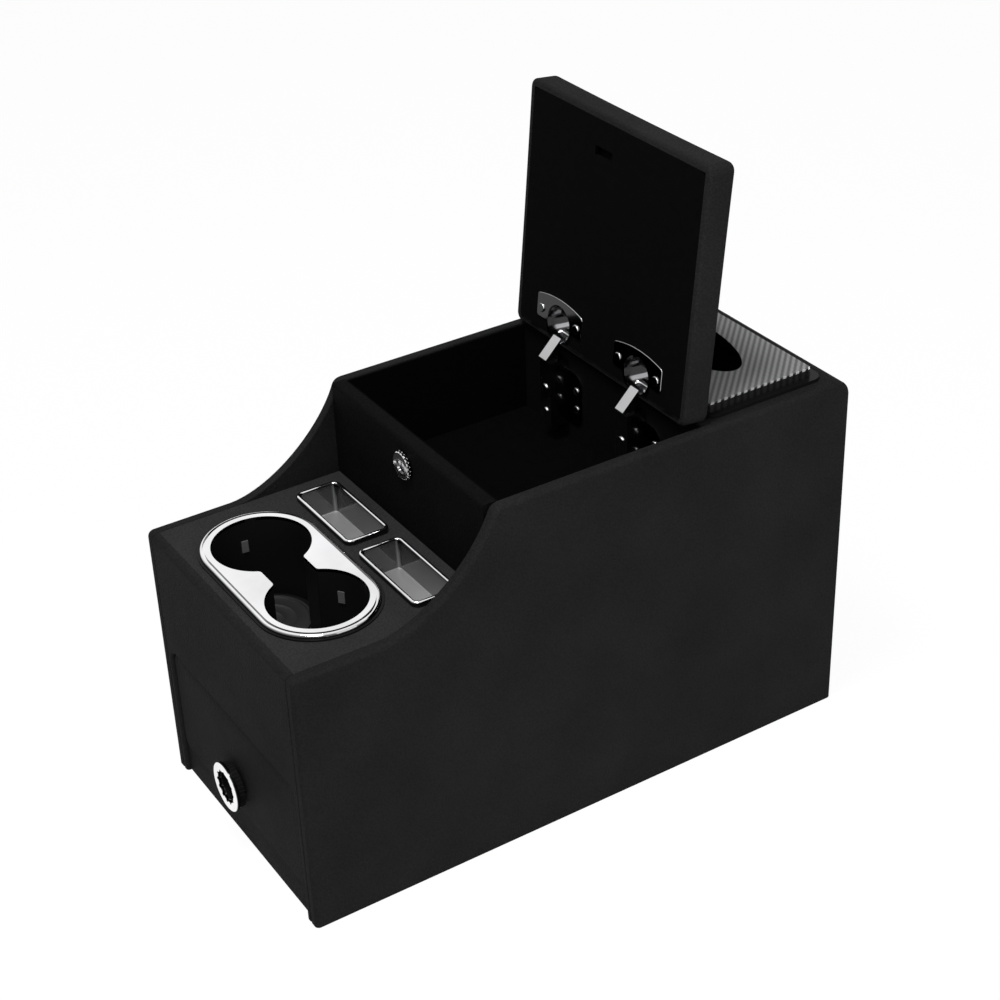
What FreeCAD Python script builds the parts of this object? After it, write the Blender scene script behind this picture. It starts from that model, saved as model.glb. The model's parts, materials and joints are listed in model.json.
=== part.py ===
import FreeCAD, Part
import math
import os

# Car centre console with drawer, cup holders, trays, locking bin and tissue box.
# Millimetres. X across, Y back from the front face, Z up from the floor.

# carcass
WIDTH = 260.0
LENGTH = 536.0
RIM_HEIGHT = 332.0
FRONT_HEIGHT = 246.0
SIDE_BOARD = 10.0
SIDE_EDGE_ROUND = 4.0
SEAM_ROUND = 1.5
SWOOP_START = 75.0
SWOOP_FLAT = 40.0
SWOOP_KNEE_Y = 90.5
SWOOP_KNEE_DROP = 44.4
SWOOP_CREST_Y = 106.5
SWOOP_CREST_DROP = 6.0
SWOOP_TOP = 116.0
BASE_BOARD = 10.0
REAR_BOARD = 12.0
CEILING_Z = 136.0
CEILING_BOARD = 6.0

# front frame and drawer opening
FRAME_DEPTH = 14.0
FRAME_ROUND = 6.0
FRAME_SILL = 29.5
RAIL_RECESS = 4.0
OPENING_TOP = 132.0
STILE = 7.0
OPENING_ROUND = 10.0
OPENING_LIP_ROUND = 3.0
DRAWER_GAP = 0.6
DRAWER_INSET = 2.0
DRAWER_FRONT_BOARD = 12.0
DRAWER_FRONT_ROUND = 2.5
RUNNER_ROOM = 14.0
DRAWER_BOX_BOARD = 6.0
DRAWER_FLOOR_BOARD = 4.0
DRAWER_BOX_LOW = 36.0
DRAWER_BOX_HIGH = 118.0
DRAWER_BOX_END = 325.0
GLIDE_HEIGHT = 8.0
GLIDE_LOW = 76.0
GLIDE_CLEAR = 1.0
GLIDE_START = 40.0
GLIDE_FIT = 0.4
RUNNER_LIP = 7.6
RUNNER_GAP = 1.0
RUNNER_START = 22.0
RUNNER_END = 340.0
KNOB_Z = 63.7
KNOB_RADIUS = 20.5
KNOB_FRONT = 10.0
KNOB_DISC = 6.0
KNOB_NECK_RADIUS = 9.0
KNOB_DISH_RADIUS = 13.5
KNOB_DISH_DEPTH = 4.0
KNOB_RING_OUTER = 22.0
KNOB_RING_INNER = 14.0
KNOB_RING_DEPTH = 3.0
KNOB_SCALLOPS = 12
KNOB_SCALLOP_RADIUS = 1.6
KNOB_GRIP_COUNT = 36
KNOB_GRIP_DEPTH = 0.5
KNOB_SCREW_RADIUS = 2.0
KNOB_SCREW_HEAD = 4.5
KNOB_SCREW_HEAD_HEIGHT = 2.5
SCREW_FIT = 0.1

# low deck, cup holder and trays
DECK_BOARD = 6.0
DECK_LAP = 7.0
DECK_EDGE_ROUND = 1.2
CUP_RADIUS = 41.5
CUP_SPREAD = 48.3
CUP_Y = 66.5
CUP_DEPTH = 75.0
CUP_WALL = 2.0
CUP_NECK = 19.3
CUP_NECK_ROUND = 4.0
CUP_FLANGE_RADIUS = 52.6
CUP_FLANGE = 1.5
CUP_BEZEL_RADIUS = 50.6
CUP_BEZEL = 3.2
CUP_BEZEL_ROUND = 2.4
BEZEL_GROOVE_RADIUS = 46.4
BEZEL_GROOVE_WIDTH = 2.0
BEZEL_GROOVE_DEPTH = 1.4
INSERT_FIT = 0.4
LAMP_WIDTH = 6.0
LAMP_HEIGHT = 11.0
LAMP_SEAT = 1.0
LAMP_PROUD = 1.0
LAMP_DROP = 21.5
LAMP_LEFT_ANGLE = 175.8
LAMP_RIGHT_ANGLE = 126.4
TRAY_INNER_X = 7.0
TRAY_FROM_SIDE = 19.0
TRAY_FRONT = 124.0
TRAY_FROM_RISER = 12.5
TRAY_ROUND = 7.0
TRAY_DEPTH = 25.0
TRAY_WALL = 1.6
TRAY_FLANGE = 1.2
TRAY_RIM_WIDTH = 3.6
TRAY_RIM = 4.0
TRAY_RIM_ROUND = 1.6

# bin
RISER_Y = 178.0
RISER_BOARD = 14.0
RISER_ROUND = 3.0
BIN_LENGTH = 182.0
BACK_WALL_BOARD = 12.0
BACK_WALL_DROP = 2.0
BIN_FLOOR_BOARD = 6.0
BIN_DEPTH = 86.0
FELT = 1.5
FELT_DROP = 2.0

# bin lock
LOCK_DROP = 21.8
LOCK_HEAD_RADIUS = 12.5
LOCK_HEAD = 4.0
LOCK_HEAD_ROUND = 1.2
LOCK_RIDGES = 20
LOCK_RIDGE_RADIUS = 0.9
LOCK_RIDGE_LENGTH = 2.4
LOCK_BARREL_RADIUS = 9.0
LOCK_HOLE_FIT = 0.3
LOCK_PLUG_RADIUS = 6.5
LOCK_RUNNING_FIT = 0.05
LOCK_PLUG_INSET = 1.0
LOCK_TAIL_RADIUS = 4.0
LOCK_NUT_FLATS = 24.0
LOCK_NUT = 3.0
CAM_GAP = 0.6
CAM_BOARD = 2.5
CAM_WIDTH = 9.0
CAM_REACH = 25.0
CAM_REST_ANGLE = 205.0
CAM_SCREW_RADIUS = 1.6
CAM_SCREW_HEAD = 3.4
CAM_SCREW_HEAD_HEIGHT = 2.0
KEYWAY_LENGTH = 7.0
KEYWAY_WIDTH = 1.4
KEYWAY_DEPTH = 3.0

# rear deck and tissue box
LID_SWING_ROOM = 9.0
REAR_DECK_BOARD = 16.0
REAR_DECK_ROUND = 4.0
REAR_DECK_ROLL = 15.0
TUB_FROM_SIDE = 30.0
TUB_FROM_FRONT = 15.0
TUB_FROM_BACK = 32.0
TUB_DEPTH = 78.0
TUB_WALL = 1.6
TUB_CORNER = 8.0
TUB_FLANGE_FROM_SIDE = 12.0
TUB_FLANGE_FROM_FRONT = 1.5
TUB_FLANGE_FROM_BACK = 20.0
TUB_FLANGE = 3.3
TUB_FLANGE_CORNER = 10.0
COVER_FROM_SIDE = 17.5
COVER_FROM_FRONT = 3.5
COVER_FROM_BACK = 28.0
COVER_HEIGHT = 8.7
COVER_WALL = 2.0
COVER_CORNER = 5.0
COVER_ROUND = 1.8
TISSUE_SLOT_FROM_SIDE = 33.5
TISSUE_SLOT_WIDE = 30.0

# lid
LID_INSET = 7.0
LID_OVERHANG = 12.7
LID_THICK = 25.6
LID_CORNER = 8.0
LID_TOP_ROUND = 6.0
LID_LOW_ROUND = 3.0
LID_GAP = 2.0
LID_REAR_INSET = 1.0
LID_OPEN_DEG = 95.8
BACKING_MARGIN = 6.5
BACKING_REAR_MARGIN = 3.2
BACKING_BOARD = 3.0
BACKING_FIT = 0.3
STRIKE_X0 = -25.0
STRIKE_X1 = -2.0
STRIKE_WIDTH = 8.0
STRIKE_DEPTH = 8.0

# cup hinges
HINGE_FROM_SIDE = 63.3
PIN_FROM_EDGE = 8.2
PIN_DEPTH = 9.6
PIN_RADIUS = 1.5
PIN_RUNNING_FIT = 0.05
EYE_RADIUS = 2.6
HINGE_CUP_RADIUS = 17.5
HINGE_CUP_EDGE = 3.0
HINGE_CUP_WALL = 0.8
HINGE_CUP_DEPTH = 13.6
HINGE_FLANGE = 1.2
HINGE_FLANGE_EDGE = 7.0
HINGE_FLANGE_HALF = 33.1
HINGE_FLANGE_RIM = 2.0
HINGE_FLANGE_CREST = 17.0
HINGE_FLANGE_FOOT = 9.0
HINGE_FLANGE_ARCH = 115.0
HINGE_FLANGE_CORNER = 3.0
HINGE_FLANGE_ROUND = 0.5
HINGE_SCREW_PITCH = 52.0
HINGE_SCREW_OFFSET = 5.5
HINGE_SCREW_HEAD = 4.0
HINGE_SCREW_HEAD_HEIGHT = 1.2
HINGE_SCREW_RADIUS = 1.8
HINGE_SCREW_LENGTH = 12.0
NECK_WIDTH = 11.0
NECK_THICK = 3.4
NECK_RUN = 10.8
NECK_STEP = 16.0
ARM_WIDTH = 16.0
ARM_STAND = 20.0
ARM_TOP_DROP = 6.0
ARM_LOW_DROP = 69.0
ARM_WALL = 1.5
PLATE_WIDTH = 58.0
PLATE_HIGH_DROP = 17.0
PLATE_LOW_DROP = 67.0
PLATE_THICK = 1.5
PLATE_CORNER = 12.0
PLATE_RIB = 12.0
PLATE_SCREW_X = 21.0
PLATE_SCREW_DROPS = (51.0, 33.0)
ARM_SCREW_DROPS = (55.0, 32.0)
ARM_SCREW_HEAD = 3.6

HALF = WIDTH / 2.0
INNER = HALF - SIDE_BOARD
DECK_Z = FRONT_HEIGHT
DECK_START = FRAME_DEPTH - DECK_LAP
BIN_FLOOR_Z = RIM_HEIGHT - BIN_DEPTH
DRAWER_BOX_HALF = INNER - RUNNER_ROOM
TRAY_OUTER_X = INNER - TRAY_FROM_SIDE
TRAY_BACK = RISER_Y - TRAY_FROM_RISER
RISER_BACK = RISER_Y + RISER_BOARD
BACK_WALL_Y = RISER_BACK + BIN_LENGTH
BACK_WALL_BACK = BACK_WALL_Y + BACK_WALL_BOARD
REAR_DECK_Y = BACK_WALL_BACK + LID_SWING_ROOM
TUB_HALF = HALF - TUB_FROM_SIDE
TUB_FRONT = REAR_DECK_Y + TUB_FROM_FRONT
TUB_BACK = LENGTH - TUB_FROM_BACK
TUB_FLANGE_HALF = HALF - TUB_FLANGE_FROM_SIDE
TUB_FLANGE_FRONT = REAR_DECK_Y + TUB_FLANGE_FROM_FRONT
TUB_FLANGE_BACK = LENGTH - TUB_FLANGE_FROM_BACK
COVER_HALF = HALF - COVER_FROM_SIDE
COVER_FRONT = REAR_DECK_Y + COVER_FROM_FRONT
COVER_BACK = LENGTH - COVER_FROM_BACK
TISSUE_SLOT_HALF = COVER_HALF - TISSUE_SLOT_FROM_SIDE
LID_WIDTH = WIDTH - 2.0 * LID_INSET
LID_REAR_Y = BACK_WALL_BACK - LID_REAR_INSET
LID_LENGTH = LID_REAR_Y - RISER_Y + LID_OVERHANG
HINGE_X = INNER - HINGE_FROM_SIDE
ARM_TOP = RIM_HEIGHT - ARM_TOP_DROP
ARM_LOW = RIM_HEIGHT - ARM_LOW_DROP
PLATE_HIGH = RIM_HEIGHT - PLATE_HIGH_DROP
PLATE_LOW = RIM_HEIGHT - PLATE_LOW_DROP
PLATE_SCREW_Z = [RIM_HEIGHT - drop for drop in PLATE_SCREW_DROPS]
ARM_SCREW_Z = [RIM_HEIGHT - drop for drop in ARM_SCREW_DROPS]
REAR_DECK_LOW = RIM_HEIGHT - REAR_DECK_BOARD
WALL_FOOT = CEILING_Z + CEILING_BOARD
LOCK_Z = RIM_HEIGHT - LOCK_DROP
LID_LOW = RIM_HEIGHT + LID_GAP
PIN_Y = LID_REAR_Y - PIN_FROM_EDGE
PIN_Z = LID_LOW + PIN_DEPTH
X_AXIS = FreeCAD.Vector(1, 0, 0)
Y_AXIS = FreeCAD.Vector(0, 1, 0)
Z_AXIS = FreeCAD.Vector(0, 0, 1)

os.makedirs("parts", exist_ok=True)


def vec(x, y, z):
    return FreeCAD.Vector(x, y, z)


def block(x0, x1, y0, y1, z0, z1):
    return Part.makeBox(x1 - x0, y1 - y0, z1 - z0, vec(x0, y0, z0))


def rod(radius, start, end):
    along = end - start
    return Part.makeCylinder(radius, along.Length, start, along)


def mirrored(shape):
    return shape.mirror(vec(0, 0, 0), X_AXIS)


def straight_edges(shape, axis, wanted):
    found = []
    for edge in shape.Edges:
        if edge.Curve.TypeId != "Part::GeomLine":
            continue
        run = edge.Vertexes[-1].Point - edge.Vertexes[0].Point
        run.normalize()
        if abs(run.dot(axis)) > 0.999 and wanted(edge.CenterOfMass):
            found.append(edge)
    return found


def near(a, b):
    return abs(a - b) < 0.01


def rounded_plate(x0, x1, y0, y1, z0, z1, corner):
    plate = block(x0, x1, y0, y1, z0, z1)
    return plate.makeFillet(corner, straight_edges(plate, Z_AXIS, lambda c: True))


def rounded_panel(x0, x1, y0, y1, z0, z1, corner):
    panel = block(x0, x1, y0, y1, z0, z1)
    return panel.makeFillet(corner, straight_edges(panel, Y_AXIS, lambda c: True))


def round_face_rim(shape, axis, level, radius):
    rim = []
    for edge in shape.Edges:
        box = edge.BoundBox
        low = (box.XMin, box.YMin, box.ZMin)[axis]
        high = (box.XMax, box.YMax, box.ZMax)[axis]
        if near(low, level) and near(high, level):
            rim.append(edge)
    return shape.makeFillet(radius, rim)


def extruded(points, x0, x1):
    loop = [vec(x0, y, z) for y, z in points]
    face = Part.Face(Part.makePolygon(loop + [loop[0]]))
    return face.extrude(vec(x1 - x0, 0, 0))


def save(name, shape):
    shape = shape.copy()
    shape.translate(vec(0, -LENGTH / 2.0, 0))
    shape.exportStep("parts/" + name + ".step")


def save_pair(name, right_shape):
    save("right_" + name, right_shape)
    save("left_" + name, mirrored(right_shape))


def side_panel():
    start = vec(INNER, SWOOP_START, FRONT_HEIGHT)
    flat = start + vec(0, SWOOP_FLAT, 0)
    knee = vec(INNER, SWOOP_START + SWOOP_KNEE_Y, RIM_HEIGHT - SWOOP_KNEE_DROP)
    crest = vec(INNER, SWOOP_START + SWOOP_CREST_Y, RIM_HEIGHT - SWOOP_CREST_DROP)
    top = vec(INNER, SWOOP_START + SWOOP_TOP, RIM_HEIGHT)
    rise = crest - knee
    bend = crest + rise * ((RIM_HEIGHT - crest.z) / rise.z)
    swoop = Part.BezierCurve()
    swoop.setPoles([start, flat, knee, crest])
    shoulder = Part.BezierCurve()
    shoulder.setPoles([crest, bend, top])
    corners = [
        top,
        vec(INNER, REAR_DECK_Y, RIM_HEIGHT),
        vec(INNER, REAR_DECK_Y, REAR_DECK_LOW),
        vec(INNER, LENGTH, REAR_DECK_LOW),
        vec(INNER, LENGTH, 0),
        vec(INNER, 0, 0),
        vec(INNER, 0, FRONT_HEIGHT),
        start,
    ]
    lines = [Part.makeLine(corners[i], corners[i + 1]) for i in range(len(corners) - 1)]
    outline = Part.Wire([swoop.toShape(), shoulder.toShape()] + lines)
    panel = Part.Face(outline).extrude(vec(SIDE_BOARD, 0, 0))
    nose = straight_edges(panel, X_AXIS, lambda c: near(c.y, 0) and near(c.z, FRONT_HEIGHT))
    panel = panel.makeFillet(FRAME_ROUND, nose)
    outer = []
    for edge in panel.Edges:
        box = edge.BoundBox
        on_outer_face = near(box.XMin, HALF) and near(box.XMax, HALF)
        on_top = box.ZMin > FRONT_HEIGHT - 0.01 and box.YMax < REAR_DECK_Y + 0.01
        on_step = near(box.YMin, REAR_DECK_Y)
        on_front = near(box.YMax, 0)
        on_back = near(box.YMin, LENGTH)
        on_nose = near(box.YMin, 0) and near(box.ZMax, FRONT_HEIGHT)
        if on_outer_face and (on_front or on_back or on_nose or (on_top and not on_step)):
            outer.append(edge)
    panel = panel.makeFillet(SIDE_EDGE_ROUND, outer)
    seam = straight_edges(panel, Z_AXIS, lambda c: near(c.y, 0) and near(c.x, INNER))
    return panel.makeFillet(SEAM_ROUND, seam)


save_pair("side_panel", side_panel())

# carcass boards
save("base_board", block(-INNER, INNER, FRAME_DEPTH, LENGTH - REAR_BOARD, 0, BASE_BOARD))
save("rear_panel", block(-INNER, INNER, LENGTH - REAR_BOARD, LENGTH, 0, REAR_DECK_LOW))
save(
    "drawer_ceiling",
    block(-INNER, INNER, FRAME_DEPTH, LENGTH - REAR_BOARD, CEILING_Z, WALL_FOOT),
)

# front frame
opening_half = INNER - STILE
frame = block(-INNER, INNER, 0, FRAME_DEPTH, 0, FRONT_HEIGHT)
frame = frame.makeFillet(
    FRAME_ROUND,
    straight_edges(frame, X_AXIS, lambda c: near(c.y, 0) and near(c.z, FRONT_HEIGHT)),
)
opening = rounded_panel(
    -opening_half, opening_half, -1, FRAME_DEPTH + 1, FRAME_SILL, OPENING_TOP, OPENING_ROUND
)
frame = frame.cut(opening)
rail_face = rounded_panel(
    -opening_half, opening_half, -1, RAIL_RECESS, -2.0 * OPENING_ROUND, OPENING_TOP, OPENING_ROUND
)
frame = frame.cut(rail_face)
lip = []
for edge in frame.Edges:
    at = edge.CenterOfMass
    on_face = near(edge.BoundBox.YMin, 0) and near(edge.BoundBox.YMax, 0)
    if on_face and abs(at.x) < opening_half + 0.01 and FRAME_SILL - 0.01 < at.z < OPENING_TOP + 0.01:
        lip.append(edge)
frame = frame.makeFillet(OPENING_LIP_ROUND, lip)
seams = straight_edges(frame, Z_AXIS, lambda c: near(c.y, 0) and near(abs(c.x), INNER))
frame = frame.makeFillet(SEAM_ROUND, seams)
deck_rebate = block(-HALF, HALF, DECK_START, FRAME_DEPTH + 1, DECK_Z - DECK_BOARD, DECK_Z + 1)
save("front_frame", frame.cut(deck_rebate))

# drawer
front_half = opening_half - DRAWER_GAP
drawer_face_y = DRAWER_INSET
drawer_back_y = DRAWER_INSET + DRAWER_FRONT_BOARD
drawer_front = rounded_panel(
    -front_half,
    front_half,
    drawer_face_y,
    drawer_back_y,
    FRAME_SILL + DRAWER_GAP,
    OPENING_TOP - DRAWER_GAP,
    OPENING_ROUND - DRAWER_GAP,
)
drawer_front = round_face_rim(drawer_front, 1, drawer_face_y, DRAWER_FRONT_ROUND)
knob_centre = vec(0, drawer_face_y, KNOB_Z)
screw_hole = rod(
    KNOB_SCREW_RADIUS + SCREW_FIT,
    vec(0, drawer_face_y - 1, KNOB_Z),
    vec(0, drawer_back_y + 1, KNOB_Z),
)
save("drawer_front", drawer_front.cut(screw_hole))
box_half = DRAWER_BOX_HALF
box_inner = box_half - DRAWER_BOX_BOARD
drawer_side = block(
    box_inner, box_half, drawer_back_y, DRAWER_BOX_END, DRAWER_BOX_LOW, DRAWER_BOX_HIGH
)
save_pair("drawer_side", drawer_side)
save(
    "drawer_back",
    block(
        -box_inner,
        box_inner,
        DRAWER_BOX_END - DRAWER_BOX_BOARD,
        DRAWER_BOX_END,
        DRAWER_BOX_LOW,
        DRAWER_BOX_HIGH,
    ),
)
save(
    "drawer_floor",
    block(
        -box_inner,
        box_inner,
        drawer_back_y,
        DRAWER_BOX_END - DRAWER_BOX_BOARD,
        DRAWER_BOX_LOW,
        DRAWER_BOX_LOW + DRAWER_FLOOR_BOARD,
    ),
)
glide_outer = opening_half - GLIDE_CLEAR
glide_high = GLIDE_LOW + GLIDE_HEIGHT
save_pair(
    "drawer_glide",
    block(box_half, glide_outer, GLIDE_START, DRAWER_BOX_END, GLIDE_LOW, glide_high),
)
runner = block(
    box_half + RUNNER_GAP,
    INNER,
    RUNNER_START,
    RUNNER_END,
    GLIDE_LOW - GLIDE_FIT - RUNNER_LIP,
    glide_high + GLIDE_FIT + RUNNER_LIP,
)
groove = block(
    0,
    glide_outer + GLIDE_FIT,
    RUNNER_START - 1,
    RUNNER_END + 1,
    GLIDE_LOW - GLIDE_FIT,
    glide_high + GLIDE_FIT,
)
save_pair("drawer_runner", runner.cut(groove))

# drawer knob
knob_front_y = drawer_face_y - KNOB_FRONT
knob_disc_y = knob_front_y + KNOB_DISC
knob = rod(KNOB_RADIUS, vec(0, knob_disc_y, KNOB_Z), vec(0, knob_front_y, KNOB_Z))
knob = knob.fuse(rod(KNOB_NECK_RADIUS, vec(0, drawer_face_y, KNOB_Z), vec(0, knob_disc_y, KNOB_Z)))
dish = rod(
    KNOB_DISH_RADIUS,
    vec(0, knob_front_y + KNOB_DISH_DEPTH, KNOB_Z),
    vec(0, knob_front_y - 1, KNOB_Z),
)
knob = knob.cut(dish)
grips = []
for i in range(KNOB_GRIP_COUNT):
    turn = 2.0 * math.pi * i / KNOB_GRIP_COUNT
    gx = (KNOB_RADIUS + KNOB_GRIP_DEPTH) * math.cos(turn)
    gz = KNOB_Z + (KNOB_RADIUS + KNOB_GRIP_DEPTH) * math.sin(turn)
    grips.append(rod(2.0 * KNOB_GRIP_DEPTH, vec(gx, drawer_face_y - 2, gz), vec(gx, knob_front_y - 1, gz)))
knob = knob.cut(Part.makeCompound(grips))
knob_bore = rod(
    KNOB_SCREW_RADIUS + SCREW_FIT,
    vec(0, drawer_face_y + 1, KNOB_Z),
    vec(0, knob_front_y + KNOB_DISH_DEPTH + 2, KNOB_Z),
)
save("knob_body", knob.cut(knob_bore))
ring = rod(KNOB_RING_OUTER, vec(0, knob_front_y, KNOB_Z), vec(0, knob_front_y - KNOB_RING_DEPTH, KNOB_Z))
ring_hole = rod(
    KNOB_RING_INNER,
    vec(0, knob_front_y + 1, KNOB_Z),
    vec(0, knob_front_y - KNOB_RING_DEPTH - 1, KNOB_Z),
)
ring = round_face_rim(ring.cut(ring_hole), 1, knob_front_y - KNOB_RING_DEPTH, 0.7)
scallops = []
for i in range(KNOB_SCALLOPS):
    turn = 2.0 * math.pi * i / KNOB_SCALLOPS
    sx = KNOB_RING_INNER * math.cos(turn)
    sz = KNOB_Z + KNOB_RING_INNER * math.sin(turn)
    scallop_back = vec(sx, knob_front_y + 1, sz)
    scallop_front = vec(sx, knob_front_y - KNOB_RING_DEPTH - 1, sz)
    scallops.append(rod(KNOB_SCALLOP_RADIUS, scallop_back, scallop_front))
save("knob_ring", ring.cut(Part.makeCompound(scallops)))
knob_screw = rod(
    KNOB_SCREW_RADIUS,
    vec(0, drawer_back_y, KNOB_Z),
    vec(0, knob_front_y + KNOB_DISH_DEPTH + 3, KNOB_Z),
)
knob_screw_head = rod(
    KNOB_SCREW_HEAD,
    vec(0, drawer_back_y, KNOB_Z),
    vec(0, drawer_back_y + KNOB_SCREW_HEAD_HEIGHT, KNOB_Z),
)
save("knob_screw", knob_screw.fuse(knob_screw_head))


# low deck
def twin_cup(radius, neck, neck_round, z0, z1):
    left = rod(radius, vec(-CUP_SPREAD, CUP_Y, z0), vec(-CUP_SPREAD, CUP_Y, z1))
    right = rod(radius, vec(CUP_SPREAD, CUP_Y, z0), vec(CUP_SPREAD, CUP_Y, z1))
    bridge = block(-CUP_SPREAD, CUP_SPREAD, CUP_Y - neck, CUP_Y + neck, z0, z1)
    shape = bridge.fuse([left, right]).removeSplitter()
    corners = straight_edges(
        shape,
        Z_AXIS,
        lambda c: abs(c.x) < CUP_SPREAD and near(abs(c.y - CUP_Y), neck),
    )
    return shape.makeFillet(neck_round, corners)


def stadium(radius, z0, z1):
    left = rod(radius, vec(-CUP_SPREAD, CUP_Y, z0), vec(-CUP_SPREAD, CUP_Y, z1))
    right = rod(radius, vec(CUP_SPREAD, CUP_Y, z0), vec(CUP_SPREAD, CUP_Y, z1))
    bridge = block(-CUP_SPREAD, CUP_SPREAD, CUP_Y - radius, CUP_Y + radius, z0, z1)
    return bridge.fuse([left, right]).removeSplitter()


def offset_cup(grow, z0, z1):
    return twin_cup(CUP_RADIUS + grow, CUP_NECK + grow, CUP_NECK_ROUND - grow, z0, z1)


def tray_plate(inset, z0, z1):
    return rounded_plate(
        TRAY_INNER_X + inset,
        TRAY_OUTER_X - inset,
        TRAY_FRONT + inset,
        TRAY_BACK - inset,
        z0,
        z1,
        TRAY_ROUND - inset,
    )


tray_hole = tray_plate(TRAY_RIM_WIDTH - TRAY_WALL - INSERT_FIT, DECK_Z - DECK_BOARD - 1, DECK_Z + 1)
deck = block(-INNER, INNER, DECK_START, RISER_Y, DECK_Z - DECK_BOARD, DECK_Z)
deck_edges = straight_edges(deck, X_AXIS, lambda c: near(c.z, DECK_Z) and near(c.y, DECK_START))
deck_edges += straight_edges(deck, Y_AXIS, lambda c: near(c.z, DECK_Z))
deck = deck.makeFillet(DECK_EDGE_ROUND, deck_edges)
deck = deck.cut(offset_cup(CUP_WALL + INSERT_FIT, DECK_Z - DECK_BOARD - 1, DECK_Z + 1))
deck = deck.cut(tray_hole).cut(mirrored(tray_hole))
save("deck_panel", deck)

cup_top = DECK_Z + CUP_FLANGE
cup_floor = cup_top - CUP_DEPTH
well = stadium(CUP_FLANGE_RADIUS, DECK_Z, cup_top)
well = well.fuse(offset_cup(CUP_WALL, cup_floor - CUP_WALL, DECK_Z))
well = well.cut(offset_cup(0, cup_floor, cup_top + 1))


def cup_lamp(cup_x, angle):
    lamp_z = DECK_Z - LAMP_DROP
    lamp = block(
        CUP_RADIUS - LAMP_PROUD,
        CUP_RADIUS + LAMP_SEAT,
        -LAMP_WIDTH / 2.0,
        LAMP_WIDTH / 2.0,
        lamp_z - LAMP_HEIGHT / 2.0,
        lamp_z + LAMP_HEIGHT / 2.0,
    )
    lamp.rotate(vec(0, 0, 0), Z_AXIS, angle)
    lamp.translate(vec(cup_x, CUP_Y, 0))
    return lamp


left_lamp = cup_lamp(-CUP_SPREAD, LAMP_LEFT_ANGLE)
right_lamp = cup_lamp(CUP_SPREAD, LAMP_RIGHT_ANGLE)
save("left_cup_lamp", left_lamp)
save("right_cup_lamp", right_lamp)
save("cup_well", well.cut(left_lamp).cut(right_lamp))
bezel_top = cup_top + CUP_BEZEL
bezel = round_face_rim(stadium(CUP_BEZEL_RADIUS, cup_top, bezel_top), 2, bezel_top, CUP_BEZEL_ROUND)
bezel = bezel.cut(offset_cup(0, cup_top - 1, bezel_top + 1))
groove_low = bezel_top - BEZEL_GROOVE_DEPTH
bezel_groove = stadium(BEZEL_GROOVE_RADIUS + BEZEL_GROOVE_WIDTH, groove_low, bezel_top + 1)
bezel_groove = bezel_groove.cut(stadium(BEZEL_GROOVE_RADIUS, groove_low, bezel_top + 1))
save("cup_bezel", bezel.cut(bezel_groove))

tray_top = DECK_Z + TRAY_FLANGE
tray = tray_plate(0.5, DECK_Z, tray_top)
tray = tray.fuse(tray_plate(TRAY_RIM_WIDTH - TRAY_WALL, tray_top - TRAY_DEPTH - TRAY_WALL, DECK_Z))
tray = tray.cut(tray_plate(TRAY_RIM_WIDTH, tray_top - TRAY_DEPTH, tray_top + 1))
save_pair("tray", tray)
rim = tray_plate(0, tray_top, tray_top + TRAY_RIM)
rim = rim.cut(tray_plate(TRAY_RIM_WIDTH, tray_top - 1, tray_top + TRAY_RIM + 1))
save_pair("tray_rim", round_face_rim(rim, 2, tray_top + TRAY_RIM, TRAY_RIM_ROUND))

# bin walls, floor and felt
lock_hole = rod(
    LOCK_BARREL_RADIUS + LOCK_HOLE_FIT,
    vec(0, RISER_Y - 1, LOCK_Z),
    vec(0, RISER_BACK + FELT + 1, LOCK_Z),
)
riser = block(-INNER, INNER, RISER_Y, RISER_BACK, WALL_FOOT, RIM_HEIGHT)
riser = riser.makeFillet(RISER_ROUND, straight_edges(riser, X_AXIS, lambda c: near(c.z, RIM_HEIGHT)))
save("riser_wall", riser.cut(lock_hole))
back_wall_top = RIM_HEIGHT - BACK_WALL_DROP
back_wall = block(-INNER, INNER, BACK_WALL_Y, BACK_WALL_BACK, WALL_FOOT, back_wall_top)
save("bin_back_wall", back_wall)
save("bin_floor", block(-INNER, INNER, RISER_BACK, BACK_WALL_Y, BIN_FLOOR_Z - BIN_FLOOR_BOARD, BIN_FLOOR_Z))
felt_top = RIM_HEIGHT - FELT_DROP
felt = block(-INNER, INNER, RISER_BACK, BACK_WALL_Y, BIN_FLOOR_Z, felt_top)
felt_inside = block(
    -INNER + FELT,
    INNER - FELT,
    RISER_BACK + FELT,
    BACK_WALL_Y - FELT,
    BIN_FLOOR_Z + FELT,
    felt_top + 1,
)
save("bin_felt", felt.cut(felt_inside).cut(lock_hole))

# bin lock
nut_back = RISER_BACK + FELT + LOCK_NUT
lock_face = RISER_Y - LOCK_HEAD
barrel = rod(LOCK_BARREL_RADIUS, vec(0, RISER_Y, LOCK_Z), vec(0, nut_back, LOCK_Z))
head = rod(LOCK_HEAD_RADIUS, vec(0, RISER_Y, LOCK_Z), vec(0, lock_face, LOCK_Z))
head = round_face_rim(head, 1, lock_face, LOCK_HEAD_ROUND)
ridges = []
for i in range(LOCK_RIDGES):
    turn = 2.0 * math.pi * i / LOCK_RIDGES
    rx = LOCK_HEAD_RADIUS * math.cos(turn)
    rz = LOCK_Z + LOCK_HEAD_RADIUS * math.sin(turn)
    ridge_front = vec(rx, lock_face - 1, rz)
    ridge_back = vec(rx, lock_face + LOCK_RIDGE_LENGTH, rz)
    ridges.append(rod(LOCK_RIDGE_RADIUS, ridge_front, ridge_back))
head = head.cut(Part.makeCompound(ridges))
barrel_bore = rod(
    LOCK_PLUG_RADIUS + LOCK_RUNNING_FIT,
    vec(0, lock_face - 1, LOCK_Z),
    vec(0, nut_back + 1, LOCK_Z),
)
save("lock_barrel", barrel.fuse(head).cut(barrel_bore))
nut_points = []
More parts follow.
